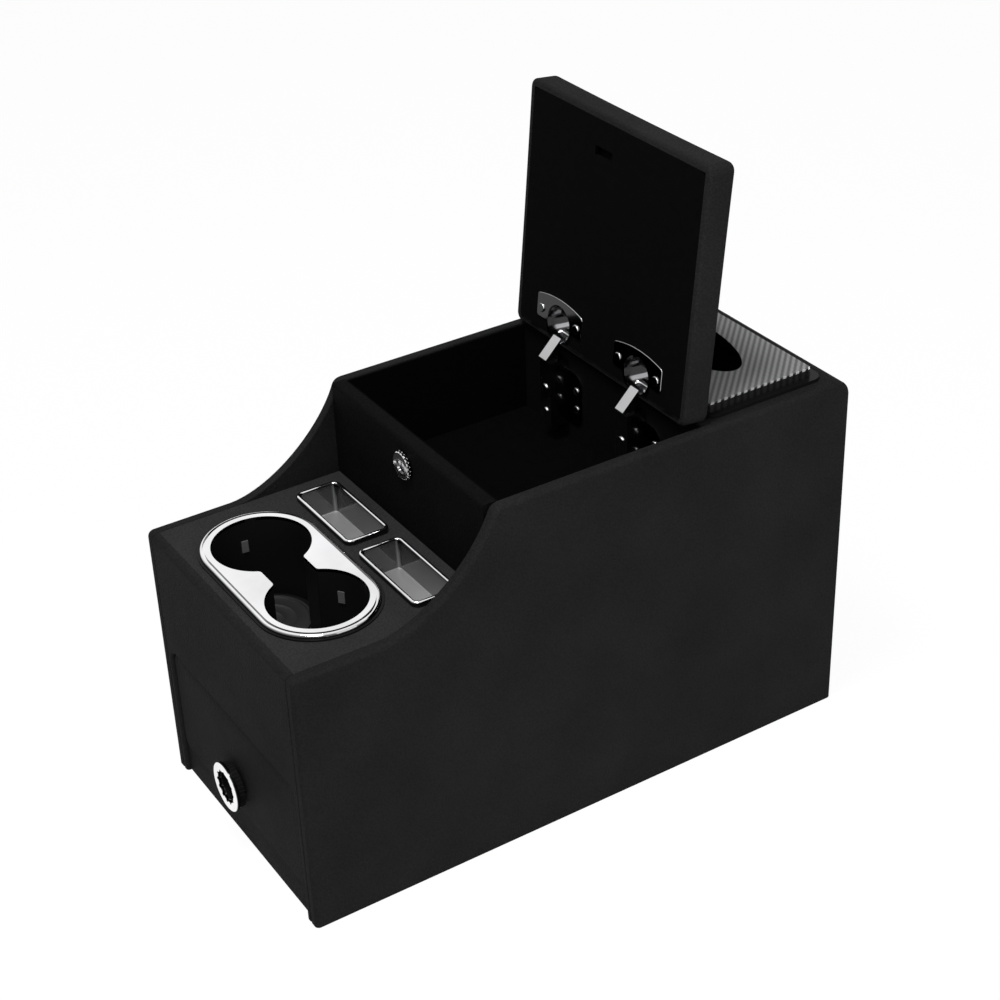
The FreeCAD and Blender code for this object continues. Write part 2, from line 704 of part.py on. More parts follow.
for i in range(6):
    turn = math.radians(60.0 * i)
    flat_radius = LOCK_NUT_FLATS / 2.0 / math.cos(math.radians(30.0))
    nut_x = flat_radius * math.cos(turn)
    nut_z = LOCK_Z + flat_radius * math.sin(turn)
    nut_points.append(vec(nut_x, RISER_BACK + FELT, nut_z))
nut = Part.Face(Part.makePolygon(nut_points + [nut_points[0]])).extrude(vec(0, LOCK_NUT, 0))
nut_bore = rod(LOCK_BARREL_RADIUS + SCREW_FIT, vec(0, RISER_BACK, LOCK_Z), vec(0, nut_back + 1, LOCK_Z))
save("lock_nut", nut.cut(nut_bore))
cam_front = nut_back + CAM_GAP
cam_back = cam_front + CAM_BOARD
plug = rod(LOCK_PLUG_RADIUS, vec(0, lock_face + LOCK_PLUG_INSET, LOCK_Z), vec(0, cam_front, LOCK_Z))
plug = plug.fuse(rod(LOCK_TAIL_RADIUS, vec(0, cam_front, LOCK_Z), vec(0, cam_back, LOCK_Z)))
keyway = block(
    -KEYWAY_WIDTH / 2.0,
    KEYWAY_WIDTH / 2.0,
    lock_face,
    lock_face + LOCK_PLUG_INSET + KEYWAY_DEPTH,
    LOCK_Z - KEYWAY_LENGTH / 2.0,
    LOCK_Z + KEYWAY_LENGTH / 2.0,
)
cam_screw_bore = rod(
    CAM_SCREW_RADIUS + SCREW_FIT, vec(0, cam_back + 1, LOCK_Z), vec(0, cam_front - 8, LOCK_Z)
)
save("lock_plug", plug.cut(keyway).cut(cam_screw_bore))
cam = rod(CAM_WIDTH / 2.0 + 2.0, vec(0, cam_front, LOCK_Z), vec(0, cam_back, LOCK_Z))
cam_tip = rod(CAM_WIDTH / 2.0, vec(CAM_REACH, cam_front, LOCK_Z), vec(CAM_REACH, cam_back, LOCK_Z))
cam_bar = block(0, CAM_REACH, cam_front, cam_back, LOCK_Z - CAM_WIDTH / 2.0, LOCK_Z + CAM_WIDTH / 2.0)
cam = cam.fuse([cam_tip, cam_bar]).removeSplitter()
cam = cam.cut(rod(LOCK_TAIL_RADIUS + SCREW_FIT, vec(0, cam_front - 1, LOCK_Z), vec(0, cam_back + 1, LOCK_Z)))
cam.rotate(vec(0, 0, LOCK_Z), Y_AXIS, -CAM_REST_ANGLE)
save("lock_cam", cam)
cam_screw = rod(CAM_SCREW_RADIUS, vec(0, cam_back, LOCK_Z), vec(0, cam_front - 7, LOCK_Z))
cam_screw = cam_screw.fuse(
    rod(
        LOCK_TAIL_RADIUS + CAM_SCREW_HEAD - CAM_SCREW_RADIUS,
        vec(0, cam_back, LOCK_Z),
        vec(0, cam_back + CAM_SCREW_HEAD_HEIGHT, LOCK_Z),
    )
)
save("lock_cam_screw", cam_screw)

# rear deck
tub_hole = rounded_plate(
    -TUB_HALF - INSERT_FIT,
    TUB_HALF + INSERT_FIT,
    TUB_FRONT - INSERT_FIT,
    TUB_BACK + INSERT_FIT,
    REAR_DECK_LOW - 1,
    RIM_HEIGHT + 1,
    TUB_CORNER + INSERT_FIT,
)
slab = block(-HALF, HALF, REAR_DECK_Y, LENGTH, REAR_DECK_LOW, RIM_HEIGHT)
roll = straight_edges(slab, X_AXIS, lambda c: near(c.y, LENGTH) and near(c.z, RIM_HEIGHT))
slab = slab.makeFillet(REAR_DECK_ROLL, roll)
slab_sides = []
for edge in slab.Edges:
    box = edge.BoundBox
    on_side = near(box.XMin, box.XMax) and near(abs(box.XMin), HALF)
    on_step = near(box.YMax, REAR_DECK_Y)
    on_foot = near(box.ZMax, REAR_DECK_LOW)
    if on_side and not on_step and not on_foot:
        slab_sides.append(edge)
slab = slab.makeFillet(REAR_DECK_ROUND, slab_sides)
tongue = block(
    -INNER, INNER, BACK_WALL_BACK, REAR_DECK_Y + 2 * REAR_DECK_ROUND, REAR_DECK_LOW, RIM_HEIGHT
)
save("rear_deck", slab.fuse(tongue).removeSplitter().cut(tub_hole))

# tissue tub and cover
flange_top = RIM_HEIGHT + TUB_FLANGE
tub = rounded_plate(
    -TUB_FLANGE_HALF,
    TUB_FLANGE_HALF,
    TUB_FLANGE_FRONT,
    TUB_FLANGE_BACK,
    RIM_HEIGHT,
    flange_top,
    TUB_FLANGE_CORNER,
)
tub_floor = RIM_HEIGHT - TUB_DEPTH
tub = tub.fuse(
    rounded_plate(-TUB_HALF, TUB_HALF, TUB_FRONT, TUB_BACK, tub_floor - TUB_WALL, RIM_HEIGHT, TUB_CORNER)
)
tub_inside = rounded_plate(
    -TUB_HALF + TUB_WALL,
    TUB_HALF - TUB_WALL,
    TUB_FRONT + TUB_WALL,
    TUB_BACK - TUB_WALL,
    tub_floor,
    flange_top + 1,
    TUB_CORNER - TUB_WALL,
)
save("tissue_tub", tub.cut(tub_inside))
cover_top = flange_top + COVER_HEIGHT
cover = rounded_plate(
    -COVER_HALF, COVER_HALF, COVER_FRONT, COVER_BACK, flange_top, cover_top, COVER_CORNER
)
cover = round_face_rim(cover, 2, cover_top, COVER_ROUND)
cover_inside = rounded_plate(
    -COVER_HALF + COVER_WALL,
    COVER_HALF - COVER_WALL,
    COVER_FRONT + COVER_WALL,
    COVER_BACK - COVER_WALL,
    flange_top - 1,
    cover_top - COVER_WALL,
    COVER_CORNER - COVER_WALL,
)
slot_centre = vec(0, (COVER_FRONT + COVER_BACK) / 2.0, flange_top - 1)
slot_curve = Part.Ellipse(slot_centre, TISSUE_SLOT_HALF, TISSUE_SLOT_WIDE)
slot = Part.Face(Part.Wire([slot_curve.toShape()])).extrude(vec(0, 0, COVER_HEIGHT + 2))
save("tissue_cover", cover.cut(cover_inside).cut(slot))


# lid, drawn shut and then turned open about the hinge pins
def opened(shape):
    shape = shape.copy()
    shape.rotate(vec(0, PIN_Y, PIN_Z), X_AXIS, -LID_OPEN_DEG)
    return shape


lid_front = LID_REAR_Y - LID_LENGTH
lid_half = LID_WIDTH / 2.0
lid_top = LID_LOW + LID_THICK
lid = rounded_plate(-lid_half, lid_half, lid_front, LID_REAR_Y, LID_LOW, lid_top, LID_CORNER)
lid = round_face_rim(lid, 2, lid_top, LID_TOP_ROUND)
lid = round_face_rim(lid, 2, LID_LOW, LID_LOW_ROUND)


def backing_plate(grow, z0, z1):
    return rounded_plate(
        -lid_half + BACKING_MARGIN - grow,
        lid_half - BACKING_MARGIN + grow,
        lid_front + BACKING_MARGIN - grow,
        LID_REAR_Y - BACKING_REAR_MARGIN + grow,
        z0,
        z1,
        LID_CORNER - LID_LOW_ROUND + grow,
    )


hinge_cup_y = LID_REAR_Y - HINGE_CUP_EDGE - HINGE_CUP_RADIUS
cup_screw_y = hinge_cup_y - HINGE_SCREW_OFFSET
cup_bottom = LID_LOW + HINGE_CUP_DEPTH
strike_y = (cam_front + cam_back) / 2.0
strike = block(
    STRIKE_X0,
    STRIKE_X1,
    strike_y - STRIKE_WIDTH / 2.0,
    strike_y + STRIKE_WIDTH / 2.0,
    LID_LOW - 1,
    LID_LOW + STRIKE_DEPTH,
)
lid_holes = [strike]
for side in (-1, 1):
    centre_x = side * HINGE_X
    lid_holes.append(
        rod(
            HINGE_CUP_RADIUS + LOCK_HOLE_FIT,
            vec(centre_x, hinge_cup_y, LID_LOW - 1),
            vec(centre_x, hinge_cup_y, cup_bottom + LOCK_HOLE_FIT),
        )
    )
    for end in (-1, 1):
        screw_x = centre_x + end * HINGE_SCREW_PITCH / 2.0
        lid_holes.append(
            rod(
                HINGE_SCREW_RADIUS + SCREW_FIT,
                vec(screw_x, cup_screw_y, LID_LOW - 1),
                vec(screw_x, cup_screw_y, LID_LOW + HINGE_SCREW_LENGTH + 1),
            )
        )
lid_holes = Part.makeCompound(lid_holes)
save("lid_pad", opened(lid.cut(backing_plate(0, LID_LOW - 1, LID_LOW + BACKING_BOARD)).cut(lid_holes)))
save("lid_backing", opened(backing_plate(-BACKING_FIT, LID_LOW, LID_LOW + BACKING_BOARD).cut(lid_holes)))


# cup hinges
def hinge_cup(x):
    top = vec(x, hinge_cup_y, cup_bottom)
    shell = rod(HINGE_CUP_RADIUS, vec(x, hinge_cup_y, LID_LOW), top)
    flange_low = LID_LOW - HINGE_FLANGE
    disc = rod(
        HINGE_CUP_RADIUS + HINGE_FLANGE_RIM,
        vec(x, hinge_cup_y, flange_low),
        vec(x, hinge_cup_y, LID_LOW),
    )
    crest_y = cup_screw_y - HINGE_FLANGE_CREST
    wing = block(
        x - HINGE_FLANGE_HALF,
        x + HINGE_FLANGE_HALF,
        crest_y,
        cup_screw_y + HINGE_FLANGE_FOOT,
        flange_low,
        LID_LOW,
    )
    arch = rod(
        HINGE_FLANGE_ARCH,
        vec(x, crest_y + HINGE_FLANGE_ARCH, flange_low),
        vec(x, crest_y + HINGE_FLANGE_ARCH, LID_LOW),
    )
    wing = wing.common(arch)
    wing = wing.makeFillet(HINGE_FLANGE_CORNER, straight_edges(wing, Z_AXIS, lambda c: True))
    trim = block(
        x - HINGE_FLANGE_HALF,
        x + HINGE_FLANGE_HALF,
        LID_REAR_Y - HINGE_FLANGE_EDGE,
        LID_REAR_Y,
        flange_low - 1,
        LID_LOW,
    )
    inside = rod(
        HINGE_CUP_RADIUS - HINGE_CUP_WALL,
        vec(x, hinge_cup_y, flange_low - 1),
        vec(x, hinge_cup_y, cup_bottom - HINGE_CUP_WALL),
    )
    shape = disc.fuse(wing).removeSplitter().cut(trim)
    shape = round_face_rim(shape, 2, flange_low, HINGE_FLANGE_ROUND)
    shape = shape.fuse(shell).cut(inside)
    for end in (-1, 1):
        screw_x = x + end * HINGE_SCREW_PITCH / 2.0
        shape = shape.cut(
            rod(
                HINGE_SCREW_RADIUS + SCREW_FIT,
                vec(screw_x, cup_screw_y, flange_low - 1),
                vec(screw_x, cup_screw_y, LID_LOW + 1),
            )
        )
    return shape.cut(hinge_pin(x))


def hinge_pin(x):
    reach = math.sqrt(
        HINGE_CUP_RADIUS**2 - (HINGE_CUP_RADIUS + HINGE_CUP_EDGE - PIN_FROM_EDGE + PIN_RADIUS) ** 2
    )
    return rod(PIN_RADIUS, vec(x - reach, PIN_Y, PIN_Z), vec(x + reach, PIN_Y, PIN_Z))


def hinge_cup_screw(x):
    head_low = LID_LOW - HINGE_FLANGE - HINGE_SCREW_HEAD_HEIGHT
    head = rod(
        HINGE_SCREW_HEAD,
        vec(x, cup_screw_y, head_low),
        vec(x, cup_screw_y, head_low + HINGE_SCREW_HEAD_HEIGHT),
    )
    head = round_face_rim(head, 2, head_low, HINGE_SCREW_HEAD_HEIGHT * 0.6)
    shank = rod(
        HINGE_SCREW_RADIUS,
        vec(x, cup_screw_y, head_low + HINGE_SCREW_HEAD_HEIGHT),
        vec(x, cup_screw_y, head_low + HINGE_SCREW_HEAD_HEIGHT + HINGE_SCREW_LENGTH),
    )
    return head.fuse(shank)


save_pair("hinge_cup", opened(hinge_cup(HINGE_X)))
save_pair("hinge_pin", opened(hinge_pin(HINGE_X)))
cup_screws = []
for side in (-1, 1):
    for end in (-1, 1):
        cup_screws.append(opened(hinge_cup_screw(side * HINGE_X + end * HINGE_SCREW_PITCH / 2.0)))
save("hinge_cup_screws", Part.makeCompound(cup_screws))

plate_back = BACK_WALL_Y - FELT
plate_front = plate_back - PLATE_THICK
arm_front = plate_back - ARM_STAND
arm_half = ARM_WIDTH / 2.0


def hinge_arm(x):
    neck_half = NECK_THICK / 2.0
    elbow_y = PIN_Y - NECK_RUN
    foot_y = arm_front + NECK_THICK
    neck = [
        (PIN_Y, PIN_Z + neck_half),
        (elbow_y, PIN_Z + neck_half),
        (elbow_y - NECK_STEP, PIN_Z + neck_half - NECK_STEP),
        (arm_front, ARM_TOP),
        (arm_front, ARM_TOP - ARM_WALL),
        (foot_y + 4.0 * ARM_WALL, ARM_TOP - ARM_WALL),
        (elbow_y - ARM_WALL, PIN_Z - neck_half),
        (PIN_Y, PIN_Z - neck_half),
    ]
    arm = extruded(neck, x - NECK_WIDTH / 2.0, x + NECK_WIDTH / 2.0)
    eye = rod(
        EYE_RADIUS,
        vec(x - NECK_WIDTH / 2.0, PIN_Y, PIN_Z),
        vec(x + NECK_WIDTH / 2.0, PIN_Y, PIN_Z),
    )
    channel = block(x - arm_half, x + arm_half, arm_front, plate_front, ARM_LOW, ARM_TOP)
    hollow = block(
        x - arm_half + ARM_WALL,
        x + arm_half - ARM_WALL,
        arm_front + ARM_WALL,
        plate_front + 1,
        ARM_LOW - 1,
        ARM_TOP - ARM_WALL,
    )
    arm = channel.cut(hollow).fuse([arm, eye])
    bore = rod(
        PIN_RADIUS + PIN_RUNNING_FIT,
        vec(x - ARM_WIDTH, PIN_Y, PIN_Z),
        vec(x + ARM_WIDTH, PIN_Y, PIN_Z),
    )
    arm = arm.cut(bore)
    for z in ARM_SCREW_Z:
        start = vec(x, arm_front - 1, z)
        end = vec(x, arm_front + 2 * ARM_WALL, z)
        arm = arm.cut(rod(HINGE_SCREW_RADIUS + SCREW_FIT, start, end))
    return arm


def hinge_plate(x):
    plate = rounded_panel(
        x - PLATE_WIDTH / 2.0,
        x + PLATE_WIDTH / 2.0,
        plate_front,
        plate_back,
        PLATE_LOW,
        PLATE_HIGH,
        PLATE_CORNER,
    )
    rib = block(
        x - PLATE_RIB / 2.0,
        x + PLATE_RIB / 2.0,
        arm_front + ARM_WALL,
        plate_front,
        PLATE_LOW,
        PLATE_HIGH,
    )
    plate = plate.fuse(rib)
    for z in ARM_SCREW_Z:
        plate = plate.cut(
            rod(
                HINGE_SCREW_RADIUS + SCREW_FIT,
                vec(x, arm_front, z),
                vec(x, arm_front + HINGE_SCREW_LENGTH, z),
            )
        )
    for z in PLATE_SCREW_Z:
        for side in (-1, 1):
            sx = x + side * PLATE_SCREW_X
            plate = plate.cut(
                rod(HINGE_SCREW_RADIUS + SCREW_FIT, vec(sx, plate_front - 1, z), vec(sx, plate_back + 1, z))
            )
    return plate


def wall_screw(x, y, z, head_radius, length):
    head = rod(head_radius, vec(x, y, z), vec(x, y - HINGE_SCREW_HEAD_HEIGHT, z))
    head = round_face_rim(head, 1, y - HINGE_SCREW_HEAD_HEIGHT, HINGE_SCREW_HEAD_HEIGHT * 0.6)
    return head.fuse(rod(HINGE_SCREW_RADIUS, vec(x, y, z), vec(x, y + length, z)))


save_pair("hinge_arm", hinge_arm(HINGE_X))
save_pair("hinge_plate", hinge_plate(HINGE_X))
arm_screws = []
plate_screws = []
for side in (-1, 1):
    for z in ARM_SCREW_Z:
        arm_screws.append(wall_screw(side * HINGE_X, arm_front, z, ARM_SCREW_HEAD, HINGE_SCREW_LENGTH - 3.0))
    for z in PLATE_SCREW_Z:
        for end in (-1, 1):
            sx = side * HINGE_X + end * PLATE_SCREW_X
            plate_screws.append(wall_screw(sx, plate_front, z, HINGE_SCREW_HEAD, PLATE_THICK))
save("hinge_arm_screws", Part.makeCompound(arm_screws))
save("hinge_plate_screws", Part.makeCompound(plate_screws))
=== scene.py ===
"""Looks of a leatherette car console box with drawer, cup holders, trays, bin and tissue box."""
import json
import math

import bmesh
import bpy
from mathutils import Matrix, Vector


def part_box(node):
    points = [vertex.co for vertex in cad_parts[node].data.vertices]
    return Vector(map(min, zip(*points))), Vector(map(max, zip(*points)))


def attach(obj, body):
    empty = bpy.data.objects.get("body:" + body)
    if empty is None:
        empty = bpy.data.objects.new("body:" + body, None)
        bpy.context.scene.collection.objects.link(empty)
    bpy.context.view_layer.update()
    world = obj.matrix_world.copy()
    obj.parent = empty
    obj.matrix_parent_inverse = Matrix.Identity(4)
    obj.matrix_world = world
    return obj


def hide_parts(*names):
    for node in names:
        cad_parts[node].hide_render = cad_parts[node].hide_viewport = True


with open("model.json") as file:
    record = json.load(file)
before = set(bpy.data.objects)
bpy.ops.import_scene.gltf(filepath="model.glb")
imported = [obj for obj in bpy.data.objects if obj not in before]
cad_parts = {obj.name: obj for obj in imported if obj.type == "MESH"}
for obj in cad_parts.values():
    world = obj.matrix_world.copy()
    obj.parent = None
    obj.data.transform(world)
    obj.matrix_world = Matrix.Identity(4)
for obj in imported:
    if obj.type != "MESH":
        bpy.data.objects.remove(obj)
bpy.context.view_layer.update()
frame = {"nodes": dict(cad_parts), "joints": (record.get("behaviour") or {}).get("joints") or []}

bl_info = {
    "name": "Console box looks",
    "version": (1, 0, 0),
    "blender": (4, 5, 0),
    "location": "3D View > Sidebar > Console box",
    "description": "Dresses the console box in leatherette, felt, chrome and smoked plastic",
    "category": "Object",
}

MM = 0.001
JOINTS = {joint["name"]: joint for joint in frame["joints"]}
LID_JOINT = JOINTS["lid_hinge"]
LID_PIVOT = Vector(LID_JOINT["pos_m"])
LID_CLOSING = math.radians(LID_JOINT["range_deg"][1])
UP = Vector((0.0, 0.0, 1.0))

SHARP_ANGLE = math.radians(40.0)
CORNER_STEPS = 8
LID_EDGE = 6.0 * MM
LID_UNDER_EDGE = 3.0 * MM
LID_CORNER = 8.0 * MM
LID_BOARD_GAP = 0.4 * MM
LID_DRAW_IN = 0.9 * MM
LID_STRIPS = (20, 18)
HINGE_CUP_CENTRE = 20.5 * MM
HINGE_CUP_BORE = 17.8 * MM
HINGE_CUP_ROOM = 1.0 * MM
DAMPER_SIZE = Vector((19.0, 9.0, 5.6)) * MM
DAMPER_ROUND = 1.4 * MM
DAMPER_FROM_EDGE = 29.0 * MM
DAMPER_RISE = 9.8 * MM
DRAWER_EDGE = 2.5 * MM
DRAWER_CORNER = 9.4 * MM
DRAWER_STRIPS = (18, 10)
CUP_SPREAD = 48.3 * MM
CUP_FLOOR = 2.0 * MM
CUP_MAT_RADIUS = 36.0 * MM
CUP_MAT_RIM = 2.4 * MM
TRAY_FLOOR = 1.6 * MM
FLOOR_REACH = 6.0
FLOOR_WHITE = 0.96

# each lamp's place, the point it looks at, and its width
LAMPS = {
    "top": ((0.25, -0.65, 2.3), (0.0, -0.1, 0.2), 0.6),
    "key": ((1.35, -1.15, 1.75), (0.0, 0.0, 0.2), 0.8),
    "side": ((1.9, 0.5, 0.9), (0.0, 0.0, 0.2), 1.3),
}


class ConsoleLooks(bpy.types.PropertyGroup):
    """Sizes and colours of the finishes and the pads."""

    leather_colour: bpy.props.FloatVectorProperty(
        name="Leatherette", description="Colour of the leatherette covering",
        default=(0.0125, 0.0125, 0.0129), size=3, min=0.0, max=1.0, subtype="COLOR")
    # partly painted light: the deck is a charcoal leatherette, made lighter still to stand in for the
    # stronger light on its top
    deck_colour_with_painted_light: bpy.props.FloatVectorProperty(
        name="Deck", description="Colour of the deck around the cup holders",
        default=(0.021, 0.021, 0.0217), size=3, min=0.0, max=1.0, subtype="COLOR")
    # painted shade: the riser is the sides' leatherette darkened to the shade it stands in behind the deck
    riser_painted_shade_colour: bpy.props.FloatVectorProperty(
        name="Riser", description="Colour of the board between the deck and the bin",
        default=(0.0036, 0.0036, 0.0038), size=3, min=0.0, max=1.0, subtype="COLOR")
    felt_colour: bpy.props.FloatVectorProperty(
        name="Felt", description="Colour of the felt in the bin and under the lid",
        default=(0.0007, 0.0007, 0.00075), size=3, min=0.0, max=1.0, subtype="COLOR")
    board_colour: bpy.props.FloatVectorProperty(
        name="Board", description="Colour of the bare stained boards",
        default=(0.020, 0.016, 0.013), size=3, min=0.0, max=1.0, subtype="COLOR")
    plastic_colour: bpy.props.FloatVectorProperty(
        name="Black plastic", description="Colour of the cup well, tissue tub and knob",
        default=(0.005, 0.005, 0.0053), size=3, min=0.0, max=1.0, subtype="COLOR")
    rubber_colour: bpy.props.FloatVectorProperty(
        name="Rubber", description="Colour of the mats in the cups",
        default=(0.011, 0.011, 0.0115), size=3, min=0.0, max=1.0, subtype="COLOR")
    smoked_colour: bpy.props.FloatVectorProperty(
        name="Smoked plastic", description="Colour of the two small trays",
        default=(0.42, 0.42, 0.425), size=3, min=0.0, max=1.0, subtype="COLOR")
    twill_dark: bpy.props.FloatVectorProperty(
        name="Dark twill", description="Colour of the dark yarns on the tissue cover",
        default=(0.100, 0.100, 0.102), size=3, min=0.0, max=1.0, subtype="COLOR")
    twill_light: bpy.props.FloatVectorProperty(
        name="Light twill", description="Colour of the light yarns on the tissue cover",
        default=(0.225, 0.225, 0.228), size=3, min=0.0, max=1.0, subtype="COLOR")
    chrome_colour: bpy.props.FloatVectorProperty(
        name="Chrome", description="Colour of the polished trim",
        default=(0.86, 0.86, 0.87), size=3, min=0.0, max=1.0, subtype="COLOR")
    nickel_colour: bpy.props.FloatVectorProperty(
        name="Nickel", description="Colour of the hinges and screws",
        default=(0.60, 0.60, 0.61), size=3, min=0.0, max=1.0, subtype="COLOR")
    lens_colour: bpy.props.FloatVectorProperty(
        name="Lens", description="Colour of the small lamp lenses in the cups",
        default=(0.075, 0.075, 0.077), size=3, min=0.0, max=1.0, subtype="COLOR")
    pebble_size: bpy.props.FloatProperty(
        name="Pebble", description="Width of one pebble of the leatherette grain",
        default=1.9 * MM, min=0.2 * MM, max=6.0 * MM, precision=4, subtype="DISTANCE", unit="LENGTH")
    twill_size: bpy.props.FloatProperty(
        name="Yarn", description="Width of one yarn of the twill",
        default=1.7 * MM, min=0.5 * MM, max=8.0 * MM, precision=4, subtype="DISTANCE", unit="LENGTH")
    lid_crown: bpy.props.FloatProperty(
        name="Lid crown", description="How far the lid's pad swells above its rounded edge",
        default=2.2 * MM, min=0.0, max=8.0 * MM, precision=4, subtype="DISTANCE", unit="LENGTH")
    drawer_crown: bpy.props.FloatProperty(
        name="Drawer crown", description="How far the drawer's pad swells",
        default=1.2 * MM, min=0.0, max=5.0 * MM, precision=4, subtype="DISTANCE", unit="LENGTH")


class ConsolePicture(bpy.types.PropertyGroup):
    """Camera and lamps."""

    azimuth: bpy.props.FloatProperty(
        name="Azimuth", description="Camera's turn round the box from straight ahead",
        default=math.radians(58.51), subtype="ANGLE", unit="ROTATION")
    elevation: bpy.props.FloatProperty(
        name="Elevation", description="Camera's height above the horizon",
        default=math.radians(31.76), subtype="ANGLE", unit="ROTATION")
    roll: bpy.props.FloatProperty(
        name="Roll", description="Camera's turn about its own axis",
        default=math.radians(-2.17), subtype="ANGLE", unit="ROTATION")
    distance: bpy.props.FloatProperty(
        name="Distance", description="From the camera to the point it looks at",
        default=1.7653, min=0.1, subtype="DISTANCE", unit="LENGTH")
    target: bpy.props.FloatVectorProperty(
        name="Target", description="Point that the camera looks at",
        default=(-0.0302, 0.0177, 0.2222), size=3, subtype="TRANSLATION", unit="LENGTH")
    lens: bpy.props.FloatProperty(
        name="Lens", description="Focal length on a 36 mm sensor, in millimetres",
        default=73.41, min=10.0)
    top_power: bpy.props.FloatProperty(
        name="Top lamp", description="Power of the soft lamp overhead",
        default=48.0, min=0.0, unit="POWER")
    key_power: bpy.props.FloatProperty(
        name="Key lamp", description="Power of the lamp high at the front right",
        default=16.0, min=0.0, unit="POWER")
    side_power: bpy.props.FloatProperty(
        name="Side lamp", description="Power of the soft lamp at the right",
        default=18.0, min=0.0, unit="POWER")
    world_level: bpy.props.FloatProperty(
        name="World", description="Strength of the even light from all round", default=0.22, min=0.0)


def looks():
    """The finishes' values."""
    return bpy.context.scene.console_looks


def colour(value):
    """A colour property as the four numbers that a socket takes."""
    return (*value, 1.0)


# shader building

def add(tree, kind, **values):
    """A node with attributes and input defaults set by name."""
    node = tree.nodes.new(kind)
    for name, value in values.items():
        if hasattr(node, name):
            setattr(node, name, value)
        else:
            node.inputs[name.replace("_", " ")].default_value = value
    return node


def maths(tree, operation, first, second=None):
    """A Math node fed by sockets or plain numbers; gives its output."""
    node = tree.nodes.new("ShaderNodeMath")
    node.operation = operation
    for socket, value in zip(node.inputs, (first, second)):
        if value is None:
            continue
        if isinstance(value, bpy.types.NodeSocket):
            tree.links.new(value, socket)
        else:
            socket.default_value = value
    return node.outputs[0]


def new_group(name, inputs, outputs):
    """An empty shader group with float, vector or colour sockets, and its two ends."""
    kinds = {"float": "NodeSocketFloat", "vector": "NodeSocketVector", "colour": "NodeSocketColor"}
    tree = bpy.data.node_groups.new(name, "ShaderNodeTree")
    for label, kind in inputs:
        tree.interface.new_socket(name=label, in_out="INPUT", socket_type=kinds[kind])
    for label, kind in outputs:
        tree.interface.new_socket(name=label, in_out="OUTPUT", socket_type=kinds[kind])
    return tree, tree.nodes.new("NodeGroupInput").outputs, tree.nodes.new("NodeGroupOutput").inputs


def pebble_group():
    """Rounded pebbles with creases between them, and slow patches of tint."""
    tree, given, result = new_group(
        "Pebble grain", [("Vector", "vector"), ("Scale", "float")],
        [("Height", "float"), ("Tint", "float"), ("Grain", "float")])
    pebbles = add(tree, "ShaderNodeTexVoronoi", feature="F1", Randomness=0.85)
    tree.links.new(given["Vector"], pebbles.inputs["Vector"])
    tree.links.new(given["Scale"], pebbles.inputs["Scale"])
    dome = add(tree, "ShaderNodeMapRange", From_Min=0.0, From_Max=0.75, To_Min=1.0, To_Max=0.0)
    tree.links.new(pebbles.outputs["Distance"], dome.inputs["Value"])
    pores = add(tree, "ShaderNodeTexNoise", Scale=2600.0, Detail=2.0)
    tree.links.new(given["Vector"], pores.inputs["Vector"])
    height = maths(tree, "ADD", dome.outputs["Result"], maths(tree, "MULTIPLY", pores.outputs["Fac"], 0.35))
    grain = add(tree, "ShaderNodeMapRange", From_Min=0.25, From_Max=1.15, To_Min=0.78, To_Max=1.18)
    tree.links.new(height, grain.inputs["Value"])
    waves = add(tree, "ShaderNodeTexNoise", Scale=26.0, Detail=2.0)
    tree.links.new(given["Vector"], waves.inputs["Vector"])
    slow = maths(tree, "MULTIPLY", waves.outputs["Fac"], 1.6)
    tree.links.new(maths(tree, "ADD", height, slow), result["Height"])
    patches = add(tree, "ShaderNodeTexNoise", Scale=14.0, Detail=4.0)
    tree.links.new(given["Vector"], patches.inputs["Vector"])
    tint = add(tree, "ShaderNodeMapRange", From_Min=0.3, From_Max=0.7, To_Min=0.88, To_Max=1.12)
    tree.links.new(patches.outputs["Fac"], tint.inputs["Value"])
    tree.links.new(tint.outputs["Result"], result["Tint"])
    tree.links.new(maths(tree, "MULTIPLY", tint.outputs["Result"], grain.outputs["Result"]), result["Grain"])
    return tree


def smudge_group():
    """Slow changes of gloss from handling."""
    tree, given, result = new_group(
        "Handling", [("Vector", "vector"), ("Roughness", "float"), ("Spread", "float")],
        [("Roughness", "float")])
    slow = add(tree, "ShaderNodeTexNoise", Scale=22.0, Detail=5.0, Roughness=0.6)
    tree.links.new(given["Vector"], slow.inputs["Vector"])
    centred = maths(tree, "SUBTRACT", slow.outputs["Fac"], 0.5)
    swing = maths(tree, "MULTIPLY", centred, given["Spread"])
    tree.links.new(maths(tree, "ADD", given["Roughness"], swing), result["Roughness"])
    return tree


def nap_group():
    """Short crossing fibres, for felt."""
    tree, given, result = new_group(
        "Felt nap", [("Vector", "vector")], [("Height", "float"), ("Tint", "float")])
    fibres = add(tree, "ShaderNodeTexNoise", Scale=1500.0, Detail=3.0, Roughness=0.7, Distortion=2.5)
    tree.links.new(given["Vector"], fibres.inputs["Vector"])
    tree.links.new(fibres.outputs["Fac"], result["Height"])
    patches = add(tree, "ShaderNodeTexNoise", Scale=160.0, Detail=5.0)
    tree.links.new(given["Vector"], patches.inputs["Vector"])
    tint = add(tree, "ShaderNodeMapRange", From_Min=0.3, From_Max=0.7, To_Min=0.7, To_Max=1.35)
    tree.links.new(patches.outputs["Fac"], tint.inputs["Value"])
    tree.links.new(tint.outputs["Result"], result["Tint"])
    return tree


